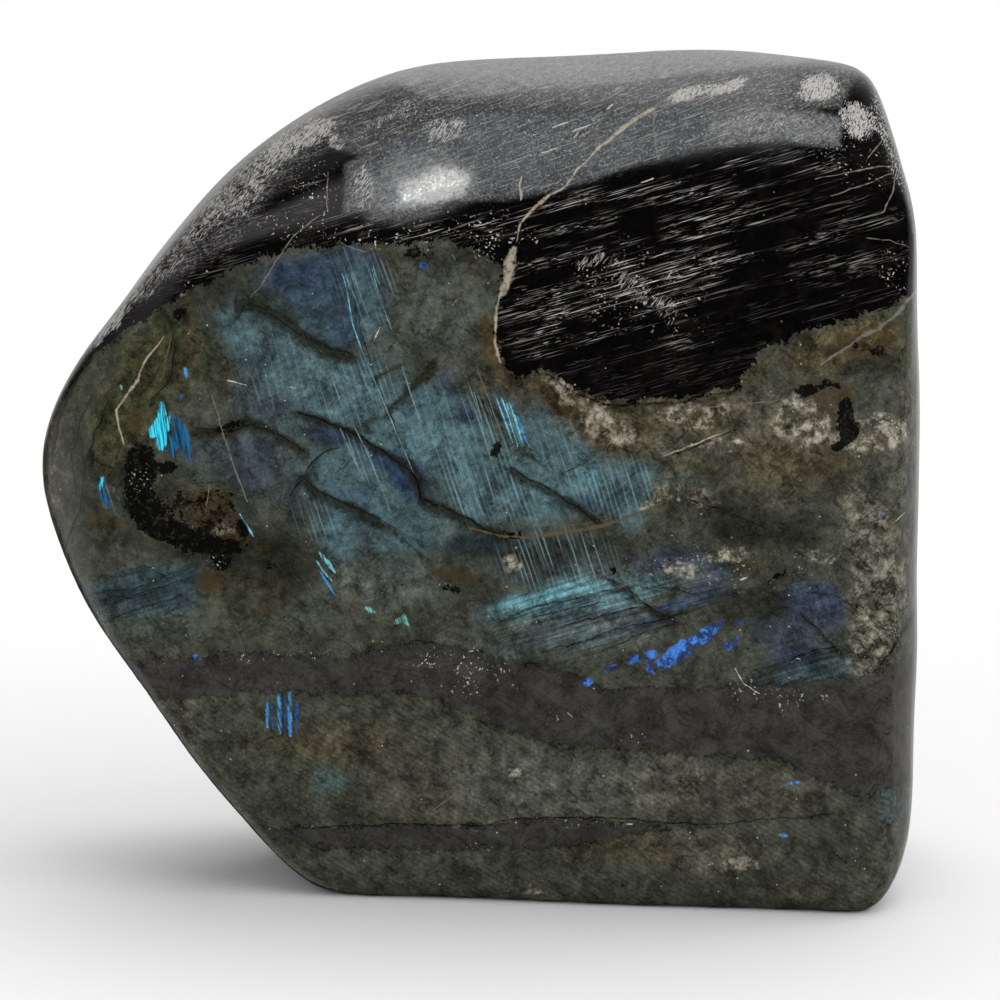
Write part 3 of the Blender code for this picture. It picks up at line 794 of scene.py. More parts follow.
def crack_shade(places, cracks):
    """How fully the soft shades of the cracks cover each place, mostly to the right of each crack."""
    bare = np.ones(len(places))
    for _, _, width, strength, points in cracks:
        spread = width * np.where(right_of_line(places, points), SPREAD_RIGHT, SPREAD_LEFT)
        bare *= 1 - strength * np.exp(-(gap_to_line(places, points) / spread) ** 2)
    return 1 - bare


def feldspar(shifted, shades):
    """The feldspar's soft colour at each place, and how coarse its crystals are there."""
    base = np.tile(TINTS["body"], (len(shifted), 1))
    covers = {name: oval_cover(shifted, ovals) for name, ovals in shades.items()}
    coarse = np.max([share * covers[name] for name, share in COARSE.items()], axis=0)
    return painted(base, [(TINTS[name], cover) for name, cover in covers.items()]), coarse


def crown(places, shift, sheets):
    """The crown's soft colour at each place, partly painted reflection and highlight, and how far it is ground
    there.
    """
    shifted = places + EDGE_SWIRL * shift
    covers = []
    for name, softness, outline in sheets:
        depth = depth_inside(shifted, outline)
        covers.append((CROWN_TINTS[name], smooth(depth, -softness / 2, softness / 2)))
    base = np.tile(CROWN_TINTS["soot"], (len(places), 1))
    return painted(base, covers), np.max([cover for _, cover in covers], axis=0)


def wandering(points, sway, rng):
    """A line through the points that wanders a little to each side, as a crack does."""
    path = [np.array(points[0], float)]
    for a, b in zip(points, points[1:]):
        a, b = np.array(a, float), np.array(b, float)
        length = np.hypot(*(b - a))
        across = np.array([a[1] - b[1], b[0] - a[0]]) / length
        pieces = max(1, round(length / WANDER_STEP))
        for i in range(1, pieces):
            path.append(a + (b - a) * i / pieces + across * rng.normal(0, sway))
        path.append(b)
    return path


def in_layers(lines):
    """Shares lines out over layers, so that no two lines of one layer come near each other."""
    layers = []
    for line in lines:
        points = np.array(line[2])
        for layer in layers:
            if all(gap_to_line(points, other[2]).min() > LINES_APART for other in layer):
                layer.append(line)
                break
        else:
            layers.append([line])
    return layers


def tapered(half_width, share):
    """A line's half width at a share of its length: full in the middle, and about half at the ends."""
    return half_width * (0.45 + 0.55 * np.sqrt(np.sin(np.pi * np.clip(share, 0.02, 0.98))))


def near_lines(places, lines, reach_limit):
    """The way to the nearest line and how far it passes a limit, both in half widths there, and its tint."""
    way, far = np.full((len(places), 2), FAR), np.full(len(places), FAR)
    limit, tint = np.full(len(places), FAR), np.zeros((len(places), 3))
    for colour, half_width, path in lines:
        low, high = np.min(path, axis=0) - LINE_MARGIN, np.max(path, axis=0) + LINE_MARGIN
        near = np.flatnonzero(((places > low) & (places < high)).all(axis=1))
        for i, (a, b) in enumerate(zip(path, path[1:])):
            gap, along = way_from_stretch(places[near], a, b)
            width = tapered(half_width, (i + along) / (len(path) - 1))
            reach = np.hypot(*gap.T)
            nearer = reach < far[near]
            chosen = near[nearer]
            far[chosen], tint[chosen] = reach[nearer], colour
            way[chosen] = (gap / width[:, None])[nearer]
            limit[chosen] = ((reach - reach_limit) / width)[nearer]
    return np.column_stack([way, limit]), tint


def line_layers(sides, sway, turned, narrowing):
    """One family's thin lines for each point of the mesh, layer by layer, from the front's and the back's."""
    rng = np.random.default_rng(LINE_SEED)
    layers = []
    for _, lines, _ in sides:
        paths = [(tint, width, wandering(points, sway, rng)) for tint, width, points in lines]
        layers.append(in_layers(paths))
    found = []
    for front_layer, back_layer in zip_longest(*layers, fillvalue=[]):
        front_near, front_tint = near_lines(sides[0][0], front_layer, sides[0][2])
        back_near, back_tint = near_lines(sides[1][0], back_layer, sides[1][2])
        near = np.where(turned[:, None], back_near, front_near) * narrowing[:, None]
        found.append((near, np.where(turned[:, None], back_tint, front_tint)))
    return found


def thin_lines(cracks):
    """Cracks without their shades, as lines like the others."""
    return [(tint, width, points) for tint, width, _, _, points in cracks]


def markings(places):
    """Every mineral's place, as named values for each point of the mesh, and the number of line layers."""
    front = seen_from_front(places)
    back = places[:, [0, 2]]
    shift = swirl(places)
    share = smooth(places[:, 1], FRONT_END, BACK_START)

    def both(front_values, back_values):
        part = share if front_values.ndim == 1 else share[:, None]
        return front_values * (1 - part) + back_values * part

    low_band = depth_inside(front, to_mm(LOW_BAND)) - LOW_BAND_THINNED
    front_shades = {name: ovals_to_mm(ovals) for name, ovals in FRONT_SHADES.items()}
    front_feldspar, front_coarse = feldspar(front + shift, front_shades)
    back_feldspar, back_coarse = feldspar(back + shift, BACK_SHADES)
    front_crown, front_ground = crown(front, shift, lines_to_mm(CROWN_SHEETS))
    back_crown, back_ground = crown(back, shift, BACK_SHEETS)
    front_cracks = lines_to_mm(FRONT_CRACKS)
    found = {
        "rind": both(depth_inside(front, to_mm(RIND)), depth_inside(back, BACK_RIND)),
        "band": both(np.maximum(depth_inside(front, to_mm(BAND)), low_band), depth_inside(back, BACK_BAND)),
        "feldspar": both(front_feldspar, back_feldspar),
        "coarse": both(front_coarse, back_coarse),
        "shade": both(crack_shade(front + SHADE_SWIRL * shift, front_cracks),
                      crack_shade(back + SHADE_SWIRL * shift, BACK_CRACKS)),
        "crown": both(front_crown, back_crown),
        "ground": both(front_ground, back_ground),
    }
    for name, ovals in FRONT_PATCHES.items():
        found[name] = both(oval_cover(front + PATCH_SWIRL * shift, ovals_to_mm(ovals)),
                           oval_cover(back + PATCH_SWIRL * shift, BACK_PATCHES[name]))

    # Thin lines don't blend, so each point takes the nearer side's, which narrow away towards the turn
    turn = (FRONT_END + BACK_START) / 2
    turned = places[:, 1] > turn
    nearness = np.where(turned, 1 - smooth(places[:, 1], turn, LINES_FADE[1]),
                        smooth(places[:, 1], LINES_FADE[0], turn))
    families = {
        "crack": (thin_lines(front_cracks), thin_lines(BACK_CRACKS)),
        "flash": (lines_to_mm(FRONT_FLASHES), BACK_FLASHES),
        "vein": (lines_to_mm(FRONT_VEINS), BACK_VEINS),
    }
    counts = {}
    for name, (front_lines, back_lines) in families.items():
        sides = (front, front_lines, FRONT_REACH), (back, back_lines, BACK_REACH)
        layers = line_layers(sides, SWAY[name], turned, 1 + NARROWING * nearness)
        counts[name] = len(layers)
        for i, (near, tint) in enumerate(layers):
            found[f"{name}_{i}"], found[f"{name}_{i}_tint"] = near, tint
    return found, counts


def store(mesh, name, values):
    """Keeps a number or a vector on each point of the mesh."""
    kind, part = ("FLOAT", "value") if values.ndim == 1 else ("FLOAT_VECTOR", "vector")
    layer = mesh.attributes.new(name, kind, "POINT")
    layer.data.foreach_set(part, values.astype(np.float32).ravel())


def points_of(mesh):
    """The mesh's points in millimetres."""
    flat = np.zeros(len(mesh.vertices) * 3, np.float32)
    mesh.vertices.foreach_get("co", flat)
    return flat.reshape(-1, 3).astype(float) / MM


def even_mesh(source):
    """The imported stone's surface as a fine, even mesh."""
    coarse = bpy.data.objects.new("coarse", source.data.copy())
    bpy.context.scene.collection.objects.link(coarse)
    weld = coarse.modifiers.new("weld", "WELD")
    weld.merge_threshold = 0.01 * MM
    remesh = coarse.modifiers.new("remesh", "REMESH")
    remesh.mode = "VOXEL"
    remesh.voxel_size = VOXEL
    ease = coarse.modifiers.new("ease", "SMOOTH")
    ease.factor = SMOOTHING
    ease.iterations = SMOOTHING_ROUNDS
    graph = bpy.context.evaluated_depsgraph_get()
    mesh = bpy.data.meshes.new_from_object(coarse.evaluated_get(graph))
    bpy.data.objects.remove(coarse)
    return mesh


def split_where_seen(mesh):
    """Splits each face that looks at the camera into four, and smooths the whole once."""
    shape = bmesh.new()
    shape.from_mesh(mesh)
    shape.normal_update()
    near = {face for face in shape.faces
            if face.normal.dot((EYE - face.calc_center_median()).normalized()) > SQUARE_TO_CAMERA}
    seen = [edge for edge in shape.edges if all(face in near for face in edge.link_faces)]
    bmesh.ops.subdivide_edges(shape, edges=seen, cuts=1, use_grid_fill=True)
    axes = {"use_axis_x": True, "use_axis_y": True, "use_axis_z": True}
    bmesh.ops.smooth_vert(shape, verts=shape.verts, factor=SMOOTHING, **axes)
    shape.to_mesh(mesh)
    shape.free()


class Recipe:
    """Builds one material's nodes from short calls."""

    def __init__(self, name):
        self.material = bpy.data.materials.new(name)
        self.material.use_nodes = True
        self.tree = self.material.node_tree
        self.shader = self.tree.nodes["Principled BSDF"]
        place = self.tree.nodes.new("ShaderNodeTexCoord").outputs["Object"]
        self.place = self.stretch(place, 0, (MM, MM, MM))

    def put(self, socket, value):
        """Joins a socket to another one, or sets its number or colour."""
        if isinstance(value, bpy.types.NodeSocket):
            self.tree.links.new(value, socket)
        elif socket.type == "RGBA" and len(value) == 3:
            socket.default_value = (*value, 1)
        else:
            socket.default_value = value

    def stretch(self, vector, rise, sizes, shift=(0, 0, 0)):
        """Coordinates that count lengths of these sizes, the first along a direction that rises so far."""
        node = self.tree.nodes.new("ShaderNodeMapping")
        node.vector_type = "TEXTURE"
        self.put(node.inputs["Vector"], vector)
        self.put(node.inputs["Location"], shift)
        self.put(node.inputs["Rotation"], (0, math.radians(-rise), 0))
        self.put(node.inputs["Scale"], sizes)
        return node.outputs[0]

    def parts(self, vector):
        """The three parts of a vector."""
        node = self.tree.nodes.new("ShaderNodeSeparateXYZ")
        self.put(node.inputs[0], vector)
        return node.outputs

    def kept(self, name, output="Fac"):
        """A value kept on the mesh."""
        node = self.tree.nodes.new("ShaderNodeAttribute")
        node.attribute_name = name
        return node.outputs[output]

    def calc(self, operation, *values):
        """One step of arithmetic."""
        node = self.tree.nodes.new("ShaderNodeMath")
        node.operation = operation
        for socket, value in zip(node.inputs, values):
            self.put(socket, value)
        return node.outputs[0]

    def both(self, *values):
        """The product of several values."""
        result = values[0]
        for value in values[1:]:
            result = self.calc("MULTIPLY", result, value)
        return result

    def most(self, *values):
        """The largest of several values."""
        result = values[0]
        for value in values[1:]:
            result = self.calc("MAXIMUM", result, value)
        return result

    def stir(self, value, other, amount):
        """A value with so much of another added, as where a noise breaks up an edge."""
        return self.calc("ADD", value, self.both(other, amount))

    def step(self, value, low, high):
        """0 at low and 1 at high, with a soft step between. Low may lie above high."""
        node = self.tree.nodes.new("ShaderNodeMapRange")
        node.interpolation_type = "SMOOTHSTEP"
        ends = (0, 1)
        if low > high:
            low, high, ends = high, low, (1, 0)
        names = ("Value", "From Min", "From Max", "To Min", "To Max")
        for name, part in zip(names, (value, low, high, *ends)):
            self.put(node.inputs[name], part)
        return node.outputs[0]

    def mix(self, share, first, second):
        """A blend of two colours."""
        node = self.tree.nodes.new("ShaderNodeMix")
        node.data_type = "RGBA"
        self.put(node.inputs[0], share)
        self.put(node.inputs[6], first)
        self.put(node.inputs[7], second)
        return node.outputs[2]

    def blend(self, share, first, second):
        """A blend of two numbers."""
        node = self.tree.nodes.new("ShaderNodeMix")
        self.put(node.inputs[0], share)
        self.put(node.inputs[2], first)
        self.put(node.inputs[3], second)
        return node.outputs[0]

    def bright(self, colour, factor):
        """A colour made brighter or darker by a factor."""
        node = self.tree.nodes.new("ShaderNodeVectorMath")
        node.operation = "SCALE"
        self.put(node.inputs[0], colour)
        self.put(node.inputs["Scale"], factor)
        return node.outputs[0]

    def lit(self, share, colour, factor):
        """A colour that is brighter or darker by a factor, as far as a share says."""
        return self.bright(colour, self.blend(share, 1.0, factor))

    def mottled(self, colour, value, between, factors):
        """A colour whose brightness runs from one factor to another as a noise runs between two values."""
        return self.bright(colour, self.blend(self.step(value, *between), *factors))

    def cloud(self, sizes, detail, roughness, rise=0, shift=(0, 0, 0), warp=0.0):
        """Cloudy noise of a size in millimetres, or of three sizes, the first along a rising direction."""
        node = self.tree.nodes.new("ShaderNodeTexNoise")
        lengths = sizes if isinstance(sizes, tuple) else (sizes, sizes, sizes)
        self.put(node.inputs["Vector"], self.stretch(self.place, rise, lengths, shift))
        self.put(node.inputs["Scale"], 1.0)
        self.put(node.inputs["Detail"], detail)
        self.put(node.inputs["Roughness"], roughness)
        self.put(node.inputs["Distortion"], warp)
        return node.outputs["Fac"]

    def cells(self, size):
        """Cells of a size in millimetres: the distance to the nearest one's middle, and its own number."""
        node = self.tree.nodes.new("ShaderNodeTexVoronoi")
        self.put(node.inputs["Vector"], self.stretch(self.place, 0, (size, size, size)))
        self.put(node.inputs["Scale"], 1.0)
        return node.outputs["Distance"], self.parts(node.outputs["Color"])[0]

    def stripes(self, spacing, rise, drift):
        """Parallel stripes of a spacing in millimetres along a rising direction, from -1 to 1."""
        across = self.parts(self.stretch(self.place, rise, (1, 1, spacing)))[2]
        return self.calc("SINE", self.both(self.calc("ADD", across, drift), 2 * math.pi))

    def seam(self, sizes, rise, shift, width):
        """Thin seams between blocks of crystal, where a noise passes its middle."""
        value = self.cloud(sizes, 3, 0.62, rise=rise, shift=shift)
        return self.step(self.calc("ABSOLUTE", self.calc("SUBTRACT", value, 0.5)), width, 0.0)

    def line(self, name, wobble, soft):
        """How fully a kept layer of lines covers the surface: 1 on a line, 0 beside it."""
        across, up, limit = self.parts(self.kept(name, "Vector"))
        reach = self.calc("SQRT", self.calc("ADD", self.both(across, across), self.both(up, up)))
        return self.step(self.calc("ADD", self.most(reach, limit), wobble), 1.0 + soft, 1.0 - soft)

    def lines(self, colour, name, count, wobble, soft, strength, gain=1.0):
        """Lays every layer of a family of lines over a colour."""
        for i in range(count):
            cover = self.line(f"{name}_{i}", wobble, soft)
            tint = self.bright(self.kept(f"{name}_{i}_tint", "Color"), gain)
            colour = self.mix(self.both(cover, strength), colour, tint)
        return colour


def shared_noises(r):
    """The noises that several looks share. The ragged and frayed ones lie about 0, to break up edges."""
    ragged = r.calc("SUBTRACT", r.cloud(3.2, 4, 0.74, shift=(9, 4, 1)), 0.5)
    fray = r.calc("SUBTRACT", r.cloud(0.8, 2, 0.75, shift=(3, 1, 7)), 0.5)
    return SimpleNamespace(
        middle=r.cloud(4.2, 5, 0.68, warp=0.5),
        grain=r.cloud(1.1, 3, 0.75),
        dust=r.cloud(0.42, 2, 0.6),
        crumbs=r.cloud(2.3, 4, 0.76, shift=(4, 4, 4)),
        layers=r.cloud((14, 3.0, 0.36), 2, 0.6, rise=TWIN_RISE),
        drift=r.both(r.cloud(20, 0, 0.5, shift=(2, 8, 4)), 1.5),
        seams=r.most(r.seam((11, 7, 4.0), -32, (1, 2, 3), 0.035), r.seam((9, 7, 3.6), 40, (6, 1, 2), 0.028)),
        ragged=ragged,
        fray=fray,
        torn=r.stir(ragged, fray, 0.6),
    )


def feldspar_look(r, g):
    """Feldspar: clouded, with dark seams and murky places, and coarser where it isn't blue."""
    coarse = r.kept("coarse")
    colour = r.mottled(r.kept("feldspar", "Color"), g.middle, (0.28, 0.72), (0.68, 1.50))
    colour = r.mottled(colour, g.grain, (0.28, 0.72), (0.78, 1.24))
    colour = r.mottled(colour, g.layers, (0.34, 0.66), (0.93, 1.07))
    crumb_factors = r.blend(coarse, 0.84, 0.30), r.blend(coarse, 1.16, 1.75)
    colour = r.mottled(colour, g.crumbs, (0.36, 0.66), crumb_factors)
    colour = r.mottled(colour, g.dust, (0.32, 0.68), (0.84, 1.17))

    pits = r.step(r.cloud(0.9, 3, 0.8, shift=(6, 2, 5)), 0.36, 0.28)
    colour = r.lit(r.both(pits, r.blend(coarse, 0.5, 1.0)), colour, 0.35)
    murk = r.step(r.cloud(7.5, 4, 0.7, shift=(3, 3, 8)), 0.52, 0.68)
    colour = r.mix(r.both(murk, 0.5), colour, MURK)
    veined = r.both(g.seams, r.most(r.step(g.middle, 0.66, 0.40), coarse), r.blend(coarse, 0.55, 0.85))
    colour = r.mix(veined, colour, SEAM)

    # Fine scores and splits, and a faint hatching low on the stone
    scored = r.step(r.cloud((6, 2, 0.17), 2, 0.6, rise=28, shift=(2, 6, 1)), 0.66, 0.74)
    colour = r.lit(scored, colour, 1.7)
    split = r.step(r.cloud((5, 2, 0.18), 2, 0.6, rise=-38, shift=(7, 2, 4)), 0.64, 0.72)
    colour = r.lit(r.both(split, r.step(g.middle, 0.7, 0.4)), colour, 0.35)
    low = r.step(r.parts(r.place)[2], HATCH_TOP, HATCH_FULL)
    hatch = r.both(r.stripes(HATCH_SPACING, HATCH_RISE, g.drift), r.step(g.middle, 0.3, 0.6), low)
    return r.bright(colour, r.stir(1.0, hatch, 0.12))


def twin_layers(r, g, colour):
    """Twin layers, which show as fine parallel lines, and fans of streaks."""
    lamellae = r.kept("lamellae")
    wide = r.stripes(WIDE_LAMELLA, TWIN_RISE, g.drift)
    fine = r.stripes(FINE_LAMELLA, TWIN_RISE + 1, g.drift)
    gate = r.step(r.cloud((12, 4, 2.2), 1, 0.5, rise=TWIN_RISE, shift=(5, 2, 9)), 0.42, 0.58)
    light = r.blend(gate, r.step(wide, 0.72, 0.98), r.step(fine, 0.35, 0.95))
    gloom = r.blend(gate, r.step(wide, -0.75, -0.98), r.step(fine, -0.40, -0.95))
    colour = r.lit(r.both(gloom, lamellae), colour, 0.66)
    colour = r.mix(r.both(light, lamellae, r.step(g.layers, 0.42, 0.58), 0.5), colour, TWIN_LIGHT)

    fans = r.kept("fans")
    fan = r.cloud((13, 3.0, 0.55), 3, 0.6, rise=17, shift=(1, 2, 3))
    hair = r.cloud((10, 3.0, 0.24), 2, 0.6, rise=23, shift=(5, 2, 3))
    colour = r.lit(fans, colour, r.blend(r.step(fan, 0.34, 0.66), 0.72, 1.75))
    return r.lit(r.both(fans, r.step(hair, 0.60, 0.70)), colour, 0.5)


def zone(r, g, name, breakup, low, high):
    """A kept patch whose edge is broken up by the grain."""
    return r.step(r.stir(r.kept(name), g.torn, breakup), low, high)


def inclusions(r, g, colour):
    """The soft shades of the cracks, rust, pale crystals and dark patches."""
    shade = r.both(zone(r, g, "shade", 0.7, 0.22, 0.66), 0.86)
    colour = r.mix(shade, colour, r.mix(r.step(g.grain, 0.4, 0.7), *SHADE_TINTS))
    rust = r.both(zone(r, g, "rust", 1.2, 0.15, 0.75), r.step(g.crumbs, 0.32, 0.60), 0.8)
    colour = r.mix(rust, colour, RUST)
    pale = r.both(zone(r, g, "pale", 1.3, 0.15, 0.72), r.step(r.stir(g.crumbs, g.fray, 0.35), 0.37, 0.56))
    colour = r.mix(r.both(pale, 0.88), colour, r.mix(r.step(g.crumbs, 0.42, 0.74), *CRYSTAL_TINTS))
    dark = r.both(zone(r, g, "dark", 2.3, 0.42, 0.62), 0.95)
    return r.mix(dark, colour, r.mix(r.step(g.grain, 0.52, 0.74), *DARK_TINTS))


def charcoal_bands(r, g, colour):
    """Charcoal bands with a darker edge."""
    charcoal = r.mix(r.step(g.middle, 0.3, 0.7), *CHARCOAL_TINTS)
    charcoal = r.mottled(charcoal, g.dust, (0.35, 0.65), (0.86, 1.14))
    charcoal = r.lit(r.both(g.seams, 0.8), charcoal, 0.6)
    depth = r.stir(r.kept("band"), g.torn, 4.4)
    edge = r.both(r.step(depth, -0.8, -0.1), r.step(depth, 0.7, 0.0))
    return r.mix(r.both(r.step(depth, -0.15, 0.25), 0.92), r.lit(edge, colour, 0.45), charcoal)


def cracks_and_flashes(r, g, colour, counts):
    """Cracks, the broken royal blue patches, the dripping spots of light, and thin flashes."""
    broken = r.both(r.blend(r.step(g.grain, 0.36, 0.56), 0.35, 1.0), 0.9)
    colour = r.lines(colour, "crack", counts["crack"], r.both(g.fray, 3.0), 0.95, broken)

    royal = r.both(zone(r, g, "royal", 1.9, 0.40, 0.72), r.step(g.crumbs, 0.36, 0.52))
    blue = r.mix(r.step(g.crumbs, 0.46, 0.62), *ROYAL_TINTS)
    colour = r.mix(royal, colour, r.mottled(blue, g.dust, (0.3, 0.7), (0.75, 1.15)))

    drip = r.cloud((6, 2, 0.34), 3, 0.7, rise=-82, shift=(3, 3, 3))
    for name, tints in SPOT_TINTS.items():
        reach = r.calc("ADD", r.kept(name), r.stir(g.torn, drip, 1.6))
        spot = r.both(r.step(reach, 1.10, 1.52), r.step(r.kept(name), 0.05, 0.35))
        colour = r.mix(spot, colour, r.mix(r.step(drip, 0.38, 0.62), *tints))

    comb = r.step(g.layers, 0.40, 0.54)
    glow = r.both(r.blend(r.step(g.grain, 0.32, 0.62), 0.50, 1.15), r.blend(comb, 0.60, 1.10))
    return r.lines(colour, "flash", counts["flash"], r.both(g.fray, 2.4), 0.5, r.blend(comb, 0.35, 1.0), glow)


def rind_look(r, g, ground):
    """The black rind, ground away to gray facets on the crown that carry painted reflection and a painted
    highlight, and where its silvery streaks are.
    """
    skin = r.mottled(r.kept("crown", "Color"), g.grain, (0.30, 0.72), (0.66, 1.38))
    skin = r.mottled(skin, g.dust, (0.34, 0.66), (0.70, 1.32))
    skin = r.mix(r.both(r.step(g.middle, 0.5, 0.75), r.blend(ground, 1.0, 0.1)), skin, RIND_BROWN)

    bands = r.step(r.cloud((20, 12, 2.6), 2, 0.6, rise=15, shift=(1, 5, 2)), 0.42, 0.64)
    clump = r.step(r.cloud(4.5, 2, 0.7, shift=(2, 2, 2)), 0.42, 0.62)
    short = r.step(r.cloud((2.2, 1.0, 0.21), 3, 0.75, rise=16), 0.57, 0.68)
    long = r.step(r.cloud((8, 2, 0.19), 2, 0.7, rise=17, shift=(6, 6, 6)), 0.56, 0.68)
    density = r.calc("ADD", r.both(r.kept("streaks"), 1.1), 0.08)
    streaks = r.most(r.both(short, clump), r.both(long, 0.9))
    silver = r.both(streaks, bands, density, r.blend(ground, 1.0, 0.12))
    skin = r.mix(silver, skin, STREAK)

    # Grit, and pale and dark scratches, on the ground facets
    grit = r.step(r.cloud(0.40, 2, 0.7, shift=(5, 5, 1)), 0.54, 0.66)
    scratch = r.cloud((5.0, 2, 0.20), 2, 0.7, rise=20, shift=(9, 1, 4))
    pale = r.most(r.both(grit, ground, 0.5), r.both(r.step(scratch, 0.58, 0.66), ground, 0.55))
    skin = r.mix(pale, skin, GRIT)
    return r.lit(r.both(r.step(scratch, 0.40, 0.32), ground), skin, 0.3), silver


def flecks(r, g):
    """White flecks in knots, and single sparks."""
    speck = r.step(r.cloud(0.5, 2, 0.6, shift=(7, 7, 2)), 0.62, 0.68)
    knot = r.step(r.cloud(3.6, 2, 0.6, shift=(1, 9, 9)), 0.44, 0.58)
    fleck = r.both(speck, knot, r.step(r.stir(r.kept("flecks"), g.ragged, 0.9), 0.1, 0.7))
    distance, own = r.cells(SPARK_SPACING)
    spark = r.both(r.step(r.stir(distance, own, 0.25), 0.125, 0.065), 0.75)
    return r.most(fleck, spark)


def stone_material(counts):
    """Labradorite: olive-gray feldspar with blue-lit layers, cracks, flashes, dark bands and a black rind."""
    r = Recipe("labradorite_stone")
    g = shared_noises(r)
    colour = feldspar_look(r, g)
    colour = twin_layers(r, g, colour)
    colour = inclusions(r, g, colour)
    colour = charcoal_bands(r, g, colour)
    colour = cracks_and_flashes(r, g, colour, counts)

    ground = r.kept("ground")
    rind = r.step(r.stir(r.kept("rind"), g.torn, 5.5), -0.1, 0.35)
    skin, silver = rind_look(r, g, ground)
    colour = r.mix(rind, colour, skin)
    fading = r.blend(r.step(g.grain, 0.36, 0.5), 0.45, 1.0)
    colour = r.lines(colour, "vein", counts["vein"], r.both(g.torn, 3.8), 0.7, fading)

    # Scuffed patches, with painted highlights and rim reflections among them on the crown, and flecks and sparks
    # lie over everything
    scuff_and_highlight_grain = r.cloud((1.5, 0.9, 0.19), 3, 0.75, rise=56, shift=(8, 1, 3))
    patch = r.stir(r.kept("scuffs_and_highlights"), g.torn, 0.9)
    reach = r.stir(scuff_and_highlight_grain, r.calc("SUBTRACT", patch, 0.8), 0.34)
    scuff_and_highlight = r.both(r.step(reach, 0.49, 0.58), r.step(patch, 0.15, 0.45))
    colour = r.mix(r.both(scuff_and_highlight, 0.80), colour, SCUFF_AND_HIGHLIGHT)
    colour = r.mix(r.both(flecks(r, g), 0.9), colour, FLECK)
    r.put(r.shader.inputs["Base Color"], colour)

    # The polish, and where it is ground, streaked or scratched
    worn = r.most(r.both(scuff_and_highlight, 0.35), r.both(rind, ground, r.blend(r.step(g.grain, 0.3, 0.7), 0.10, 0.20)))
    worn = r.most(worn, r.both(rind, silver, 0.3))
    r.put(r.shader.inputs["Roughness"], r.calc("ADD", worn, r.blend(r.step(g.dust, 0.3, 0.7), 0.13, 0.19)))
    r.put(r.shader.inputs["IOR"], FELDSPAR_IOR)
    r.put(r.shader.inputs["Metallic"], 0.0)
    bump = r.tree.nodes.new("ShaderNodeBump")
    r.put(bump.inputs["Strength"], 0.35)
    r.put(bump.inputs["Distance"], 1 * MM)
    r.put(bump.inputs["Height"], r.both(g.dust, r.blend(ground, 0.012, 0.075)))
    r.put(r.shader.inputs["Normal"], bump.outputs[0])
    return r.material


def build_stone(node):
    """The visible stone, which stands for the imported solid."""
    mesh = even_mesh(node)
    split_where_seen(mesh)
    mesh.name = "labradorite_stone"
    mesh.materials.clear()
    mesh.shade_smooth()
    stone = bpy.data.objects.new("labradorite_stone", mesh)
    bpy.context.scene.collection.objects.link(stone)
    found, counts = markings(points_of(mesh))
    for name, values in found.items():
        store(mesh, name, values)
    mesh.materials.append(stone_material(counts))
    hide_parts("labradorite")
    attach(stone, "root")


def build_floor():
    """A plain pale floor, much larger than the view."""
    mesh = bpy.data.meshes.new("floor")
    corners = [(x * FLOOR_REACH, y * FLOOR_REACH, 0) for x, y in ((-1, -1), (1, -1), (1, 1), (-1, 1))]
    mesh.from_pydata(corners, [], [(0, 1, 2, 3)])
    r = Recipe("pale_floor")
    r.put(r.shader.inputs["Base Color"], FLOOR_TINT)
    r.put(r.shader.inputs["Roughness"], 0.9)
    r.put(r.shader.inputs["Specular IOR Level"], 0.1)
    mesh.materials.append(r.material)
    floor = bpy.data.objects.new("floor", mesh)
    bpy.context.scene.collection.objects.link(floor)
    floor.location.z = -FLOOR_GAP
    floor.visible_glossy = False


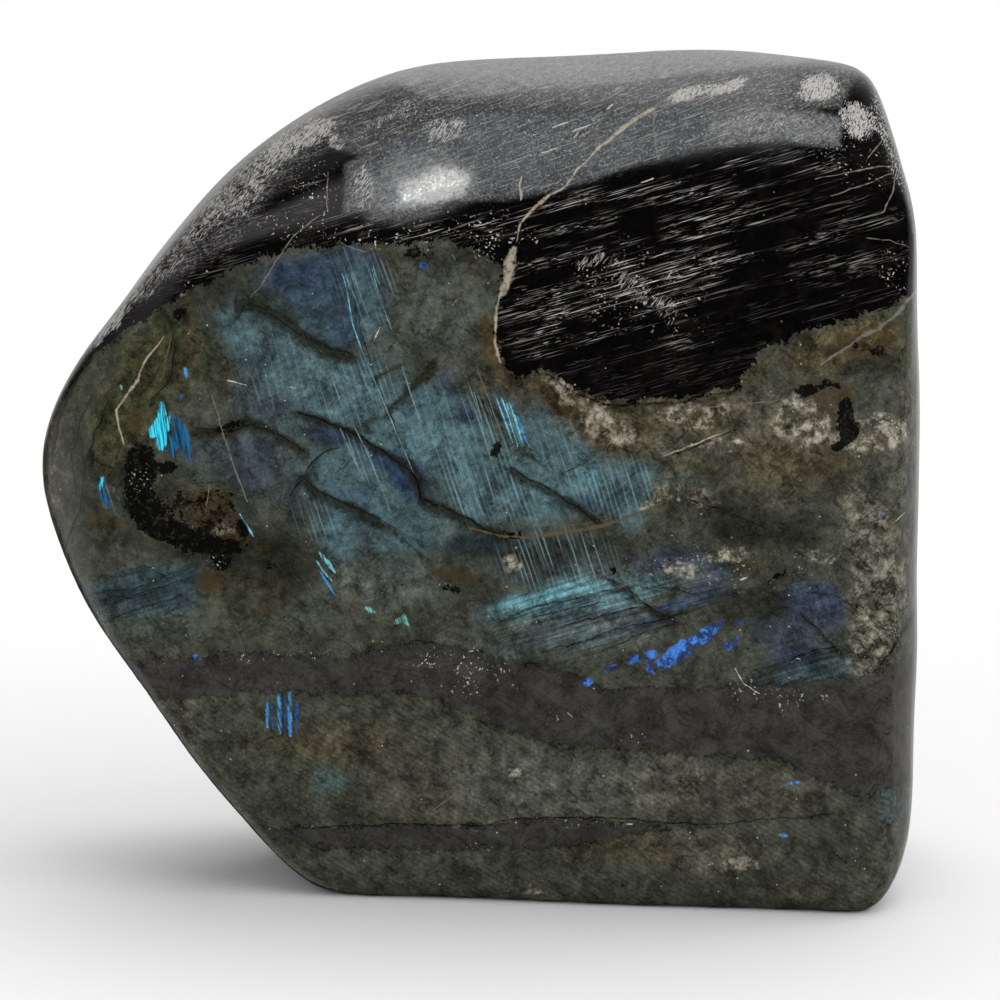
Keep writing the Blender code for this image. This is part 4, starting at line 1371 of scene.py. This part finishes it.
def build_world():
    """White to the camera, an even pale light to the scene, and soft windows to the polish."""
    world = bpy.data.worlds.new("studio")
    bpy.context.scene.world = world
    world.use_nodes = True
    tree = world.node_tree
    tree.nodes.clear()

    def put(socket, value):
        if isinstance(value, bpy.types.NodeSocket):
            tree.links.new(value, socket)
        else:
            socket.default_value = value

    direction = tree.nodes.new("ShaderNodeTexCoord").outputs["Generated"]
    total = 0.0
    for middle, full, gone, strength in WINDOWS:
        toward = tree.nodes.new("ShaderNodeVectorMath")
        toward.operation = "DOT_PRODUCT"
        put(toward.inputs[0], direction)
        put(toward.inputs[1], Vector(middle).normalized())
        window = tree.nodes.new("ShaderNodeMapRange")
        window.interpolation_type = "SMOOTHSTEP"
        put(window.inputs["Value"], toward.outputs["Value"])
        put(window.inputs["From Min"], math.cos(math.radians(gone)))
        put(window.inputs["From Max"], math.cos(math.radians(full)))
        put(window.inputs["To Max"], strength)
        sum_node = tree.nodes.new("ShaderNodeMath")
        put(sum_node.inputs[0], total)
        put(sum_node.inputs[1], window.outputs[0])
        total = sum_node.outputs[0]

    def backdrop(strength):
        node = tree.nodes.new("ShaderNodeBackground")
        put(node.inputs["Color"], (1, 1, 1, 1))
        put(node.inputs["Strength"], strength)
        return node.outputs[0]

    def either(ray, other, chosen):
        node = tree.nodes.new("ShaderNodeMixShader")
        put(node.inputs[0], rays.outputs[ray])
        put(node.inputs[1], other)
        put(node.inputs[2], chosen)
        return node.outputs[0]

    rays = tree.nodes.new("ShaderNodeLightPath")
    surroundings = either("Is Glossy Ray", backdrop(AMBIENT), backdrop(total))
    surroundings = either("Is Camera Ray", surroundings, backdrop(1.0))
    put(tree.nodes.new("ShaderNodeOutputWorld").inputs["Surface"], surroundings)


def build_lights():
    """Soft suns that aren't mirrored."""
    for name, (source, power, spread) in SUNS.items():
        light = bpy.data.lights.new(name, "SUN")
        light.energy = power
        light.angle = math.radians(spread)
        lamp = bpy.data.objects.new(name, light)
        bpy.context.scene.collection.objects.link(lamp)
        lamp.rotation_euler = Vector(source).to_track_quat("Z", "Y").to_euler()
        lamp.visible_glossy = False


def build_camera():
    """The camera, from the photograph's side."""
    lens = bpy.data.cameras.new("camera")
    lens.lens = LENS
    lens.sensor_width = SENSOR
    lens.clip_end = 5 * FLOOR_REACH
    camera = bpy.data.objects.new("camera", lens)
    camera.location = EYE
    camera.rotation_euler = (EYE - AIM).to_track_quat("Z", "Y").to_euler()
    bpy.context.scene.collection.objects.link(camera)
    bpy.context.scene.camera = camera


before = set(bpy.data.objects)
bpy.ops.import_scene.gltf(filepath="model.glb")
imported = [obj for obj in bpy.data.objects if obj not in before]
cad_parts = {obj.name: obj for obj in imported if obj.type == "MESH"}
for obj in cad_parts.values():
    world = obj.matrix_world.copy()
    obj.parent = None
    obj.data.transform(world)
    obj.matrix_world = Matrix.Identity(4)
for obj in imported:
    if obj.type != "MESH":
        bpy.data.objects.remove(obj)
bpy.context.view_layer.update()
build_camera()
build_floor()
build_world()
build_lights()
build_stone(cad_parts["labradorite"])
bpy.context.scene.view_settings.view_transform = "Standard"
bpy.context.view_layer.update()
